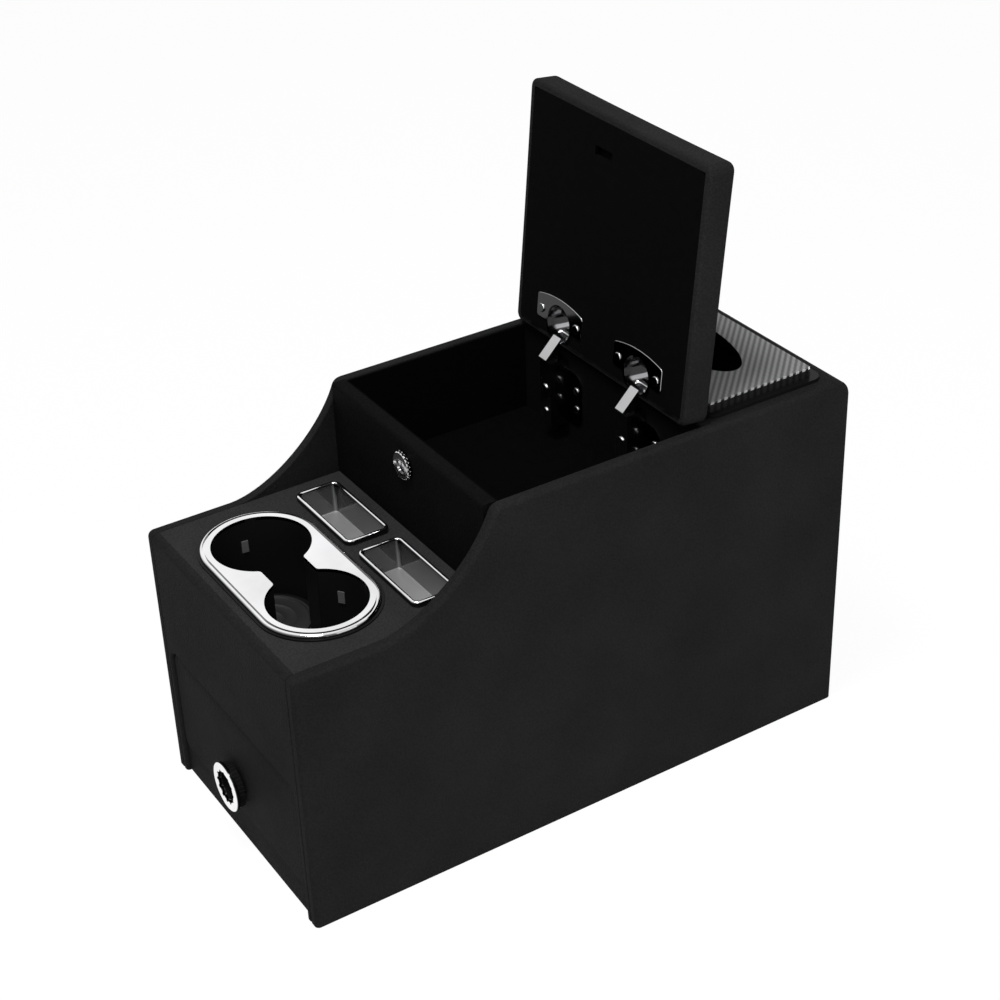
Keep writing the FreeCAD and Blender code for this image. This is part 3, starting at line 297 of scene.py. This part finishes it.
def twill_group():
    """Two-over-two twill: a mask of the raised yarns and their rounded height."""
    tree, given, result = new_group(
        "Twill", [("Vector", "vector"), ("Yarn", "float")], [("Mask", "float"), ("Height", "float")])
    axes = tree.nodes.new("ShaderNodeSeparateXYZ")
    tree.links.new(given["Vector"], axes.inputs[0])
    length = maths(tree, "ADD", axes.outputs["X"], axes.outputs["Z"])
    breadth = maths(tree, "SUBTRACT", axes.outputs["Y"], axes.outputs["Z"])
    along = maths(tree, "DIVIDE", length, given["Yarn"])
    across = maths(tree, "DIVIDE", breadth, given["Yarn"])
    step = maths(tree, "ADD", maths(tree, "FLOOR", along), maths(tree, "FLOOR", across))
    phase = maths(tree, "FLOORED_MODULO", step, 4.0)
    mask = maths(tree, "LESS_THAN", phase, 1.5)
    tree.links.new(mask, result["Mask"])
    along_wave = maths(tree, "SINE", maths(tree, "MULTIPLY", maths(tree, "FRACT", along), math.pi))
    across_wave = maths(tree, "SINE", maths(tree, "MULTIPLY", maths(tree, "FRACT", across), math.pi))
    warp = maths(tree, "MULTIPLY", along_wave, mask)
    weft = maths(tree, "MULTIPLY", across_wave, maths(tree, "SUBTRACT", 1.0, mask))
    tree.links.new(maths(tree, "ADD", warp, weft), result["Height"])
    return tree


GROUPS = {}


def shared(name):
    """A shared shader group, built the first time that it is asked for."""
    makers = {"pebble": pebble_group, "smudge": smudge_group, "nap": nap_group, "twill": twill_group}
    if name not in GROUPS:
        GROUPS[name] = makers[name]()
    return GROUPS[name]


def place_group(tree, name, **values):
    """A shared group in a material, fed with Object coordinates."""
    node = tree.nodes.new("ShaderNodeGroup")
    node.node_tree = shared(name)
    place = tree.nodes.new("ShaderNodeTexCoord")
    tree.links.new(place.outputs["Object"], node.inputs["Vector"])
    for label, value in values.items():
        node.inputs[label].default_value = value
    return node


def new_material(name, **sockets):
    """A material with its Principled shader, constants set on the sockets."""
    material = bpy.data.materials.new(name)
    material.use_nodes = True
    shader = material.node_tree.nodes["Principled BSDF"]
    for label, value in sockets.items():
        shader.inputs[label.replace("_", " ")].default_value = value
    return material, material.node_tree, shader


def tint_colour(tree, shader, base, amount):
    """Base colour times an amount that changes over the surface."""
    mix = add(tree, "ShaderNodeMix", data_type="RGBA", blend_type="MULTIPLY")
    mix.inputs["Factor"].default_value = 1.0
    mix.inputs[6].default_value = colour(base)
    tree.links.new(amount, mix.inputs[7])
    tree.links.new(mix.outputs[2], shader.inputs["Base Color"])


def bump(tree, shader, height, strength, distance):
    """Relief on the surface."""
    node = add(tree, "ShaderNodeBump", Strength=strength, Distance=distance)
    tree.links.new(height, node.inputs["Height"])
    tree.links.new(node.outputs["Normal"], shader.inputs["Normal"])


def gloss(tree, shader, roughness, spread):
    """Gloss that varies with handling."""
    node = place_group(tree, "smudge", Roughness=roughness, Spread=spread)
    tree.links.new(node.outputs["Roughness"], shader.inputs["Roughness"])


def turned(tree, axis, across, along):
    """0 where the surface looks across an axis of the object, 1 where it looks along it: the ramp for
    painted highlights, shade and reflections.
    """
    place = tree.nodes.new("ShaderNodeTexCoord")
    axes = tree.nodes.new("ShaderNodeSeparateXYZ")
    tree.links.new(place.outputs["Normal"], axes.inputs[0])
    ramp = add(tree, "ShaderNodeMapRange", interpolation_type="SMOOTHSTEP", From_Min=across, From_Max=along)
    tree.links.new(maths(tree, "ABSOLUTE", axes.outputs[axis]), ramp.inputs["Value"])
    return ramp.outputs["Result"]


def leather(name, base, roughness):
    """Pebbled leatherette."""
    material, tree, shader = new_material(name, Specular_IOR_Level=0.006)
    grain = place_group(tree, "pebble", Scale=1.0 / looks().pebble_size)
    tint_colour(tree, shader, base, grain.outputs["Grain"])
    gloss(tree, shader, roughness, 0.16)
    bump(tree, shader, grain.outputs["Height"], 1.0, 0.3 * MM)
    return material


def felt(name, base):
    """Matt felt."""
    material, tree, shader = new_material(
        name, Specular_IOR_Level=0.01, Sheen_Weight=0.005, Sheen_Roughness=0.6, Roughness=0.95)
    nap = place_group(tree, "nap")
    tint_colour(tree, shader, base, nap.outputs["Tint"])
    bump(tree, shader, nap.outputs["Height"], 0.6, 0.3 * MM)
    return material


def plastic(name, base, roughness, specular, texture):
    """Moulded plastic with a fine spark-eroded texture."""
    material, tree, shader = new_material(name, Specular_IOR_Level=specular)
    gloss(tree, shader, roughness, 0.12)
    place = tree.nodes.new("ShaderNodeTexCoord")
    noise = add(tree, "ShaderNodeTexNoise", Scale=1800.0, Detail=2.0)
    tree.links.new(place.outputs["Object"], noise.inputs["Vector"])
    patches = place_group(tree, "pebble", Scale=90.0)
    tint_colour(tree, shader, base, patches.outputs["Tint"])
    bump(tree, shader, noise.outputs["Fac"], texture, 0.05 * MM)
    return material


def twill(name):
    """Twill-patterned sheet with painted highlight glints on its rolled edge, and painted shade where it
    turns down.
    """
    values = looks()
    material, tree, shader = new_material(
        name, Coat_Weight=0.05, Coat_Roughness=0.1, Specular_IOR_Level=0.03)
    weave = place_group(tree, "twill", Yarn=values.twill_size)
    mix = add(tree, "ShaderNodeMix", data_type="RGBA")
    mix.inputs[6].default_value = colour(values.twill_dark)
    mix.inputs[7].default_value = colour(values.twill_light)
    tree.links.new(weave.outputs["Mask"], mix.inputs["Factor"])
    # painted highlight: glints on the raised yarns where the edge rolls over
    roll = maths(tree, "SUBTRACT", turned(tree, "Z", 0.15, 0.5), turned(tree, "Z", 0.8, 0.98))
    raised = maths(tree, "MULTIPLY", weave.outputs["Mask"], weave.outputs["Height"])
    painted_glint = maths(tree, "MULTIPLY", maths(tree, "MULTIPLY", roll, raised), 3.0)
    # painted shade: the sides that turn down keep only 5 % of the colour
    painted_side_shade = maths(tree, "ADD", maths(tree, "MULTIPLY", turned(tree, "Z", 0.6, 0.98), 0.95), 0.05)
    yarns = maths(tree, "ADD", maths(tree, "MULTIPLY", weave.outputs["Height"], 0.5), 0.7)
    level = maths(tree, "MULTIPLY", maths(tree, "ADD", painted_side_shade, painted_glint), yarns)
    shade = add(tree, "ShaderNodeMix", data_type="RGBA", blend_type="MULTIPLY")
    shade.inputs["Factor"].default_value = 1.0
    tree.links.new(mix.outputs[2], shade.inputs[6])
    tree.links.new(level, shade.inputs[7])
    tree.links.new(shade.outputs[2], shader.inputs["Base Color"])
    gloss(tree, shader, 0.32, 0.1)
    bump(tree, shader, weave.outputs["Height"], 0.4, 0.2 * MM)
    return material


def smoked(name, base):
    """Dark mirror plating with a brushed floor."""
    material, tree, shader = new_material(name, Metallic=0.9)
    patches = place_group(tree, "pebble", Scale=90.0)
    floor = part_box("left_tray")[0][2] + TRAY_FLOOR
    place = tree.nodes.new("ShaderNodeTexCoord")
    axes = tree.nodes.new("ShaderNodeSeparateXYZ")
    tree.links.new(place.outputs["Object"], axes.inputs[0])
    matt = add(
        tree, "ShaderNodeMapRange",
        From_Min=floor + 0.3 * MM, From_Max=floor + 1.2 * MM, To_Min=1.0, To_Max=0.0)
    tree.links.new(axes.outputs["Z"], matt.inputs["Value"])
    depth = maths(tree, "ADD", maths(tree, "MULTIPLY", matt.outputs["Result"], 0.72), 0.28)
    tint_colour(tree, shader, base, maths(tree, "MULTIPLY", depth, patches.outputs["Tint"]))
    polish = place_group(tree, "smudge", Roughness=0.07, Spread=0.06)
    brushed = maths(tree, "MULTIPLY", matt.outputs["Result"], 0.42)
    tree.links.new(maths(tree, "ADD", brushed, polish.outputs["Roughness"]), shader.inputs["Roughness"])
    return material


def metal(name, base, roughness, axis, across, along):
    """Polished plate with painted reflection: one depth of colour where it faces across an axis and another
    where it faces along it, with faint handling marks.
    """
    material, tree, shader = new_material(name, Metallic=1.0)
    gloss(tree, shader, roughness, 0.06)
    patches = place_group(tree, "pebble", Scale=60.0)
    # painted reflection: the colour runs from the across level to the along level as the surface turns
    # toward the axis
    swing = maths(tree, "MULTIPLY", turned(tree, axis, 0.45, 0.95), along - across)
    depth = maths(tree, "ADD", swing, across)
    tint_colour(tree, shader, base, maths(tree, "MULTIPLY", depth, patches.outputs["Tint"]))
    return material


def stained_board(name):
    """Straight-grained board, stained dark."""
    material, tree, shader = new_material(name, Specular_IOR_Level=0.25)
    place = tree.nodes.new("ShaderNodeTexCoord")
    stretch = tree.nodes.new("ShaderNodeMapping")
    stretch.inputs["Scale"].default_value = (60.0, 4.0, 60.0)
    tree.links.new(place.outputs["Object"], stretch.inputs["Vector"])
    rings = add(tree, "ShaderNodeTexNoise", Scale=3.0, Detail=6.0, Roughness=0.65, Distortion=0.6)
    tree.links.new(stretch.outputs["Vector"], rings.inputs["Vector"])
    tint = add(tree, "ShaderNodeMapRange", From_Min=0.3, From_Max=0.7, To_Min=0.6, To_Max=1.4)
    tree.links.new(rings.outputs["Fac"], tint.inputs["Value"])
    tint_colour(tree, shader, looks().board_colour, tint.outputs["Result"])
    gloss(tree, shader, 0.6, 0.15)
    bump(tree, shader, rings.outputs["Fac"], 0.2, 0.2 * MM)
    return material


def dress(material, *names):
    """Gives CAD nodes their finish."""
    for name in names:
        node = frame["nodes"][name]
        if not node.material_slots:
            node.data.materials.append(material)
        for slot in node.material_slots:
            slot.material = material


MATERIALS = {}


def finish(name):
    """A finish by name, made the first time that it is asked for."""
    values = looks()
    makers = {
        "leather": lambda: leather("leatherette", values.leather_colour, 0.56),
        # painted shade: a darker copy of the leatherette for the riser
        "riser": lambda: leather("riser_painted_shade_leatherette", values.riser_painted_shade_colour, 0.56),
        # partly painted light: charcoal leatherette, lighter still for the light on the deck's top
        "deck": lambda: leather("deck_leatherette_with_painted_light", values.deck_colour_with_painted_light, 0.5),
        "felt": lambda: felt("black_felt", values.felt_colour),
        "board": lambda: stained_board("stained_board"),
        "plastic": lambda: plastic("satin_plastic", values.plastic_colour, 0.3, 0.07, 0.15),
        "rubber": lambda: plastic("ribbed_rubber", values.rubber_colour, 0.55, 0.3, 0.4),
        "runner": lambda: plastic("runner_plastic", values.plastic_colour, 0.5, 0.3, 0.3),
        "smoked": lambda: smoked("smoked_plating", values.smoked_colour),
        "lens": lambda: plastic("lamp_lens", values.lens_colour, 0.25, 0.4, 0.05),
        "twill": lambda: twill("twill_sheet"),
        # painted reflections: chrome and bright nickel are darkened where they face across their axis;
        # pressed nickel gets dark faces with painted bright edges
        "chrome": lambda: metal("polished_chrome", values.chrome_colour, 0.07, "Z", 0.12, 1.0),
        "front_chrome": lambda: metal("upright_chrome", values.chrome_colour, 0.07, "Y", 0.12, 1.0),
        "nickel": lambda: metal("bright_nickel", values.nickel_colour, 0.13, "Y", 0.5, 1.0),
        "pressing_painted_edges": lambda: metal("pressed_nickel_painted_edges", values.nickel_colour, 0.1, "Y", 1.2, 0.06),
    }
    if name not in MATERIALS:
        MATERIALS[name] = makers[name]()
    return MATERIALS[name]


# mesh building

def lid_turn(angle):
    """Turn about the lid's hinge."""
    there = Matrix.Translation(LID_PIVOT)
    back = Matrix.Translation(-LID_PIVOT)
    return there @ Matrix.Rotation(angle, 4, "X") @ back


def closed_box(name):
    """Corners of a lid node as it lies when the lid is shut."""
    turn = lid_turn(LID_CLOSING)
    points = [turn @ vertex.co for vertex in frame["nodes"][name].data.vertices]
    low = Vector([min(point[axis] for point in points) for axis in range(3)])
    high = Vector([max(point[axis] for point in points) for axis in range(3)])
    return low, high


def opened():
    """Turn that takes the shut lid to its place at rest."""
    return lid_turn(-LID_CLOSING)


def facing(bm, direction):
    """The largest face that looks along a direction."""
    bm.normal_update()
    matches = [face for face in bm.faces if face.normal.dot(direction) > 0.99]
    return max(matches, key=lambda face: face.calc_area())


def step_in(bm, face, inset, rise):
    """One ring: the face drawn in by inset and moved out by rise."""
    bmesh.ops.inset_region(
        bm, faces=[face], thickness=inset, depth=rise, use_even_offset=True, use_boundary=True)


def quarter_round(bm, direction, radius, steps):
    """Rounds the edge of a face over with rings."""
    for index in range(steps):
        before = math.pi / 2.0 * index / steps
        after = math.pi / 2.0 * (index + 1) / steps
        step_in(
            bm,
            facing(bm, direction),
            radius * (math.cos(before) - math.cos(after)),
            radius * (math.sin(after) - math.sin(before)),
        )


def slice_up(bm, axis, low, high, count):
    """Cuts a mesh across an axis into even strips, so that its faces can swell."""
    normal = Vector([1.0 if index == axis else 0.0 for index in range(3)])
    for index in range(1, count):
        place = normal * (low + (high - low) * index / count)
        bmesh.ops.bisect_plane(
            bm, geom=bm.verts[:] + bm.edges[:] + bm.faces[:], dist=0.01 * MM,
            plane_co=place, plane_no=normal)


def swell(bm, low, high, edge, rise):
    """Crowns the top of a sliced block inside its rounded edge."""
    half = (high - low) / 2.0 - Vector((edge, edge, 0.0))
    centre = (high + low) / 2.0
    for vertex in bm.verts:
        if vertex.co.z < high.z - 0.02 * MM:
            continue
        across = min(1.0, abs(vertex.co.x - centre.x) / half.x)
        along = min(1.0, abs(vertex.co.y - centre.y) / half.y)
        vertex.co.z += rise * (1.0 - across ** 2.5) * (1.0 - along ** 2.5)


def draw_in(bm, low, high, inner, pull):
    """Draws a pad's sides in a little between its corners, outside its inner frame."""
    centre = (high + low) / 2.0
    half = (high - low) / 2.0
    for vertex in bm.verts:
        offset = vertex.co - centre
        shares = (offset.x / half.x, offset.y / half.y)
        for axis, other in ((0, 1), (1, 0)):
            reach = (abs(offset[axis]) - inner[axis]) / (half[axis] - inner[axis])
            if reach > 0.0:
                vertex.co[axis] -= math.copysign(pull * reach * (1.0 - shares[other] ** 2), offset[axis])


def rounded_block(low, high, corner):
    """A block whose upright edges are rounded."""
    bm = bmesh.new()
    bmesh.ops.create_cube(bm, size=1.0)
    bmesh.ops.scale(bm, vec=high - low, verts=bm.verts)
    bmesh.ops.translate(bm, vec=(high + low) / 2.0, verts=bm.verts)
    upright = [edge for edge in bm.edges if abs((edge.verts[0].co - edge.verts[1].co).normalized().z) > 0.99]
    bmesh.ops.bevel(
        bm, geom=upright, offset=corner, offset_type="OFFSET", segments=CORNER_STEPS,
        profile=0.5, affect="EDGES", material=-1)
    return bm


def soft_block(size, edge):
    """A small moulded block, rounded all over, with a shallow recess in its lower face."""
    bm = bmesh.new()
    bmesh.ops.create_cube(bm, size=1.0)
    bmesh.ops.scale(bm, vec=size, verts=bm.verts)
    bmesh.ops.bevel(
        bm, geom=bm.edges[:], offset=edge, offset_type="OFFSET", segments=3,
        profile=0.5, affect="EDGES", material=-1)
    step_in(bm, facing(bm, -UP), edge, 0.0)
    step_in(bm, facing(bm, -UP), 0.3 * MM, -0.8 * MM)
    return bm


def ribbed_disc(radius, rim):
    """A thin mat with a raised rim and two rings, spun about its middle."""
    bm = bmesh.new()
    face, ring, under = 0.9 * MM, 1.5 * MM, 0.05 * MM
    profile = [
        (0.0, face), (0.30, face), (0.34, ring), (0.38, face), (0.60, face), (0.64, ring), (0.68, face),
        (0.92, face), (0.95, rim), (0.99, rim), (1.0, 0.8 * rim), (1.0, under), (0.0, under)]
    outline = [(share * radius, height) for share, height in profile]
    points = [bm.verts.new((across, 0.0, up)) for across, up in outline]
    edges = [bm.edges.new(pair) for pair in zip(points, points[1:])]
    bmesh.ops.spin(
        bm, geom=points + edges, cent=(0.0, 0.0, 0.0), axis=(0.0, 0.0, 1.0), angle=2.0 * math.pi,
        steps=64, use_merge=True, dvec=(0.0, 0.0, 0.0))
    bmesh.ops.remove_doubles(bm, verts=bm.verts, dist=0.005 * MM)
    return bm


def piece(name, bm, place, material):
    """Turns a bmesh into an object with its place in its mesh, shaded smooth by angle."""
    bmesh.ops.transform(bm, matrix=place, verts=bm.verts)
    bmesh.ops.recalc_face_normals(bm, faces=bm.faces)
    mesh = bpy.data.meshes.new(name)
    bm.to_mesh(mesh)
    bm.free()
    mesh.materials.append(material)
    obj = bpy.data.objects.new(name, mesh)
    bpy.context.scene.collection.objects.link(obj)
    mesh.shade_smooth()
    mesh.set_sharp_from_angle(angle=SHARP_ANGLE)
    return obj


def cut_away(obj, cutter):
    """Takes the cutter's shape out of a piece for good."""
    modifier = obj.modifiers.new("cut", "BOOLEAN")
    modifier.operation = "DIFFERENCE"
    modifier.solver = "EXACT"
    modifier.object = cutter
    bpy.context.view_layer.update()
    ready = obj.evaluated_get(bpy.context.evaluated_depsgraph_get())
    mesh = bpy.data.meshes.new_from_object(ready)
    obj.modifiers.clear()
    obj.data = mesh
    bpy.data.objects.remove(cutter)


class CONSOLE_OT_leather_boards(bpy.types.Operator):
    """Covers the carcass boards in leatherette"""

    bl_idname = "console.leather_boards"
    bl_label = "Leatherette boards"

    def execute(self, context):
        dress(
            finish("leather"), "left_side_panel", "right_side_panel", "front_frame",
            "rear_deck", "rear_panel")
        dress(finish("riser"), "riser_wall")
        dress(finish("deck"), "deck_panel")
        return {"FINISHED"}


class CONSOLE_OT_lid(bpy.types.Operator):
    """Makes the lid's crowned pad and hinge dampers, and dresses its felted board"""

    bl_idname = "console.lid"
    bl_label = "Lid"

    def execute(self, context):
        low, high = closed_box("lid_pad")
        board_low, board_high = closed_box("lid_backing")
        cup_top = closed_box("left_hinge_cup")[1].z
        pad = rounded_block(low + UP * LID_UNDER_EDGE, high - UP * LID_EDGE, LID_CORNER)
        quarter_round(pad, UP, LID_EDGE, 7)
        quarter_round(pad, -UP, LID_UNDER_EDGE, 6)
        margin = board_low.x - low.x - LID_UNDER_EDGE
        step_in(pad, facing(pad, -UP), margin - LID_BOARD_GAP, 0.0)
        step_in(pad, facing(pad, -UP), 0.2 * MM, low.z - cup_top - HINGE_CUP_ROOM)
        slice_up(pad, 0, low.x, high.x, LID_STRIPS[0])
        slice_up(pad, 1, low.y, high.y, LID_STRIPS[1])
        swell(pad, low, high, LID_EDGE, looks().lid_crown)
        inner = (board_high - board_low) / 2.0 + Vector((LID_BOARD_GAP, LID_BOARD_GAP, 0.0))
        draw_in(pad, low, high, inner, LID_DRAW_IN)
        cushion = piece("lid_cushion", pad, Matrix.Identity(4), finish("leather"))
        cups = bmesh.new()
        depth = 2.0 * (cup_top - low.z + HINGE_CUP_ROOM)
        for side in ("left", "right"):
            node_low, node_high = closed_box(side + "_hinge_cup")
            centre = (node_low + node_high) / 2.0
            made = bmesh.ops.create_cone(
                cups, cap_ends=True, segments=64, radius1=HINGE_CUP_BORE, radius2=HINGE_CUP_BORE,
                depth=depth)
            seat = Vector((centre.x, LID_REAR_EDGE - HINGE_CUP_CENTRE, low.z))
            bmesh.ops.translate(cups, vec=seat, verts=made["verts"])
        cutter = piece("cup_cutter", cups, Matrix.Identity(4), finish("leather"))
        cut_away(cushion, cutter)
        cushion.data.transform(opened())
        cushion.data.shade_smooth()
        cushion.data.set_sharp_from_angle(angle=SHARP_ANGLE)
        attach(cushion, "lid")
        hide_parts("lid_pad")
        dress(finish("felt"), "lid_backing")
        for side in ("left", "right"):
            node_low, node_high = closed_box(side + "_hinge_cup")
            middle = (node_low.x + node_high.x) / 2.0
            seat = Vector((middle, LID_REAR_EDGE - DAMPER_FROM_EDGE, low.z + DAMPER_RISE))
            damper = piece(
                side + "_hinge_damper", soft_block(DAMPER_SIZE, DAMPER_ROUND),
                opened() @ Matrix.Translation(seat), finish("plastic"))
            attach(damper, "lid")
        return {"FINISHED"}


class CONSOLE_OT_drawer(bpy.types.Operator):
    """Makes the drawer's padded front and dresses its box"""

    bl_idname = "console.drawer"
    bl_label = "Drawer"

    def execute(self, context):
        low, high = (Vector(corner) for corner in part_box("drawer_front"))
        width, height, depth = high.x - low.x, high.z - low.z, high.y - low.y
        half = Vector((width / 2.0, height / 2.0, 0.0))
        pad = rounded_block(-half, half + UP * (depth - DRAWER_EDGE), DRAWER_CORNER)
        quarter_round(pad, UP, DRAWER_EDGE, 6)
        top = half + UP * depth
        slice_up(pad, 0, -half.x, half.x, DRAWER_STRIPS[0])
        slice_up(pad, 1, -half.y, half.y, DRAWER_STRIPS[1])
        swell(pad, -half, top, DRAWER_EDGE, looks().drawer_crown)
        centre = Vector(((low.x + high.x) / 2.0, high.y, (low.z + high.z) / 2.0))
        place = Matrix.Translation(centre) @ Matrix.Rotation(math.radians(90.0), 4, "X")
        cushion = piece("drawer_cushion", pad, place, finish("leather"))
        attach(cushion, "drawer")
        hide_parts("drawer_front")
        dress(finish("board"), "left_drawer_side", "right_drawer_side", "drawer_back", "drawer_floor")
        dress(
            finish("runner"), "left_drawer_glide", "right_drawer_glide",
            "left_drawer_runner", "right_drawer_runner")
        dress(finish("plastic"), "knob_body")
        dress(finish("front_chrome"), "knob_ring")
        dress(finish("nickel"), "knob_screw")
        return {"FINISHED"}


class CONSOLE_OT_deck_fittings(bpy.types.Operator):
    """Lays the cup mats, and dresses the cup holder, its bezel and lamps, and the trays"""

    bl_idname = "console.deck_fittings"
    bl_label = "Deck fittings"

    def execute(self, context):
        dress(finish("plastic"), "cup_well")
        low, high = (Vector(corner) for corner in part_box("cup_well"))
        floor = low.z + CUP_FLOOR
        for name, side in (("left_cup_mat", -1.0), ("right_cup_mat", 1.0)):
            centre = Vector((side * CUP_SPREAD, (low.y + high.y) / 2.0, floor))
            disc = ribbed_disc(CUP_MAT_RADIUS, CUP_MAT_RIM)
            mat = piece(name, disc, Matrix.Translation(centre), finish("rubber"))
            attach(mat, "console")
        dress(finish("chrome"), "cup_bezel", "left_tray_rim", "right_tray_rim")
        dress(finish("lens"), "left_cup_lamp", "right_cup_lamp")
        dress(finish("smoked"), "left_tray", "right_tray")
        return {"FINISHED"}


class CONSOLE_OT_bin(bpy.types.Operator):
    """Dresses the bin, its lock and the hinges"""

    bl_idname = "console.bin"
    bl_label = "Bin"

    def execute(self, context):
        dress(finish("felt"), "bin_felt", "bin_back_wall")
        dress(finish("board"), "bin_floor", "base_board", "drawer_ceiling")
        dress(finish("front_chrome"), "lock_barrel", "lock_plug")
        dress(
            finish("nickel"), "lock_nut", "lock_cam", "lock_cam_screw", "left_hinge_pin", "right_hinge_pin",
            "left_hinge_arm", "right_hinge_arm", "hinge_arm_screws", "hinge_plate_screws")
        dress(
            finish("pressing_painted_edges"), "left_hinge_cup", "right_hinge_cup", "left_hinge_plate", "right_hinge_plate",
            "hinge_cup_screws")
        return {"FINISHED"}


class CONSOLE_OT_tissue_box(bpy.types.Operator):
    """Dresses the tissue tub and its twill cover"""

    bl_idname = "console.tissue_box"
    bl_label = "Tissue box"

    def execute(self, context):
        dress(finish("plastic"), "tissue_tub")
        dress(finish("twill"), "tissue_cover")
        return {"FINISHED"}


class CONSOLE_OT_stage(bpy.types.Operator):
    """Sets the floor, the lamps, the white world and the camera"""

    bl_idname = "console.stage"
    bl_label = "Stage"

    def execute(self, context):
        picture = context.scene.console_picture
        context.scene.view_settings.view_transform = "Standard"
        set_floor()
        set_world(picture.world_level)
        powers = {"top": picture.top_power, "key": picture.key_power, "side": picture.side_power}
        for name, (place, target, size) in LAMPS.items():
            add_lamp(name + "_lamp", Vector(place), Vector(target), size, powers[name])
        add_camera(picture)
        return {"FINISHED"}


def set_floor():
    """A wide pale floor that keeps a soft shadow."""
    bm = bmesh.new()
    bmesh.ops.create_grid(bm, x_segments=4, y_segments=4, size=FLOOR_REACH)
    material, tree, shader = new_material("pale_floor", Roughness=0.95, Specular_IOR_Level=0.05)
    place = tree.nodes.new("ShaderNodeTexCoord")
    cloud = add(tree, "ShaderNodeTexNoise", Scale=3.0, Detail=2.0)
    tree.links.new(place.outputs["Object"], cloud.inputs["Vector"])
    pale = add(tree, "ShaderNodeMapRange", To_Min=0.93, To_Max=0.95)
    tree.links.new(cloud.outputs["Fac"], pale.inputs["Value"])
    tree.links.new(pale.outputs["Result"], shader.inputs["Base Color"])
    white = add(tree, "ShaderNodeEmission", Strength=1.0)
    seen = background_rays(tree)
    mix = tree.nodes.new("ShaderNodeMixShader")
    tree.links.new(maths(tree, "MULTIPLY", seen, FLOOR_WHITE), mix.inputs["Fac"])
    tree.links.new(shader.outputs["BSDF"], mix.inputs[1])
    tree.links.new(white.outputs["Emission"], mix.inputs[2])
    tree.links.new(mix.outputs["Shader"], tree.nodes["Material Output"].inputs["Surface"])
    floor = piece("floor", bm, Matrix.Identity(4), material)


def background_rays(tree):
    """1 on rays that show the background: from the camera, off gloss and through glass."""
    path = tree.nodes.new("ShaderNodeLightPath")
    shown = maths(tree, "MAXIMUM", path.outputs["Is Camera Ray"], path.outputs["Is Glossy Ray"])
    return maths(tree, "MAXIMUM", shown, path.outputs["Is Transmission Ray"])


def set_world(level):
    """White where it is seen, softer where it lights."""
    world = bpy.data.worlds.new("white_room")
    world.use_nodes = True
    tree = world.node_tree
    background = tree.nodes["Background"]
    background.inputs["Color"].default_value = (1.0, 1.0, 1.0, 1.0)
    seen = background_rays(tree)
    unseen = maths(tree, "MULTIPLY", maths(tree, "SUBTRACT", 1.0, seen), level)
    tree.links.new(maths(tree, "ADD", seen, unseen), background.inputs["Strength"])
    bpy.context.scene.world = world


def add_lamp(name, place, target, size, power):
    """A square soft lamp that looks at a point."""
    data = bpy.data.lights.new(name, "AREA")
    data.size = size
    data.energy = power
    lamp = bpy.data.objects.new(name, data)
    lamp.location = place
    lamp.rotation_euler = (target - place).to_track_quat("-Z", "Y").to_euler()
    bpy.context.scene.collection.objects.link(lamp)


def add_camera(picture):
    """Camera at the photograph's viewing angle."""
    turn, lift, roll = picture.azimuth, picture.elevation, picture.roll
    back = Vector((math.sin(turn) * math.cos(lift), -math.cos(turn) * math.cos(lift), math.sin(lift)))
    right = Vector((math.cos(turn), math.sin(turn), 0.0))
    up = back.cross(right)
    rolled_right = right * math.cos(roll) + up * math.sin(roll)
    rolled_up = up * math.cos(roll) - right * math.sin(roll)
    data = bpy.data.cameras.new("camera")
    data.lens = picture.lens
    data.sensor_width = 36.0
    data.clip_end = 50.0
    camera = bpy.data.objects.new("camera", data)
    pose = Matrix((rolled_right, rolled_up, back)).transposed().to_4x4()
    pose.translation = Vector(picture.target) + back * picture.distance
    camera.matrix_world = pose
    bpy.context.scene.collection.objects.link(camera)
    bpy.context.scene.camera = camera


LID_REAR_EDGE = closed_box("lid_pad")[1].y

OPERATORS = (
    CONSOLE_OT_leather_boards, CONSOLE_OT_lid, CONSOLE_OT_drawer, CONSOLE_OT_deck_fittings,
    CONSOLE_OT_bin, CONSOLE_OT_tissue_box, CONSOLE_OT_stage)


class CONSOLE_PT_panel(bpy.types.Panel):
    """Lists the console box's pieces"""

    bl_idname = "CONSOLE_PT_panel"
    bl_label = "Console box"
    bl_space_type = "VIEW_3D"
    bl_region_type = "UI"
    bl_category = "Console box"

    def draw(self, context):
        for operator in OPERATORS:
            self.layout.operator(operator.bl_idname)
        for group in (context.scene.console_looks, context.scene.console_picture):
            for name in group.__annotations__:
                self.layout.prop(group, name)


CLASSES = (ConsoleLooks, ConsolePicture) + OPERATORS + (CONSOLE_PT_panel,)


def register():
    """Adds the classes and the scene's values."""
    for item in CLASSES:
        bpy.utils.register_class(item)
    bpy.types.Scene.console_looks = bpy.props.PointerProperty(type=ConsoleLooks)
    bpy.types.Scene.console_picture = bpy.props.PointerProperty(type=ConsolePicture)


def unregister():
    """Takes the classes and values away again."""
    del bpy.types.Scene.console_picture
    del bpy.types.Scene.console_looks
    for item in reversed(CLASSES):
        bpy.utils.unregister_class(item)


def main():
    """Builds every piece in order."""
    register()
    bpy.ops.console.leather_boards()
    bpy.ops.console.lid()
    bpy.ops.console.drawer()
    bpy.ops.console.deck_fittings()
    bpy.ops.console.bin()
    bpy.ops.console.tissue_box()
    bpy.ops.console.stage()


if __name__ == "__main__":
    main()
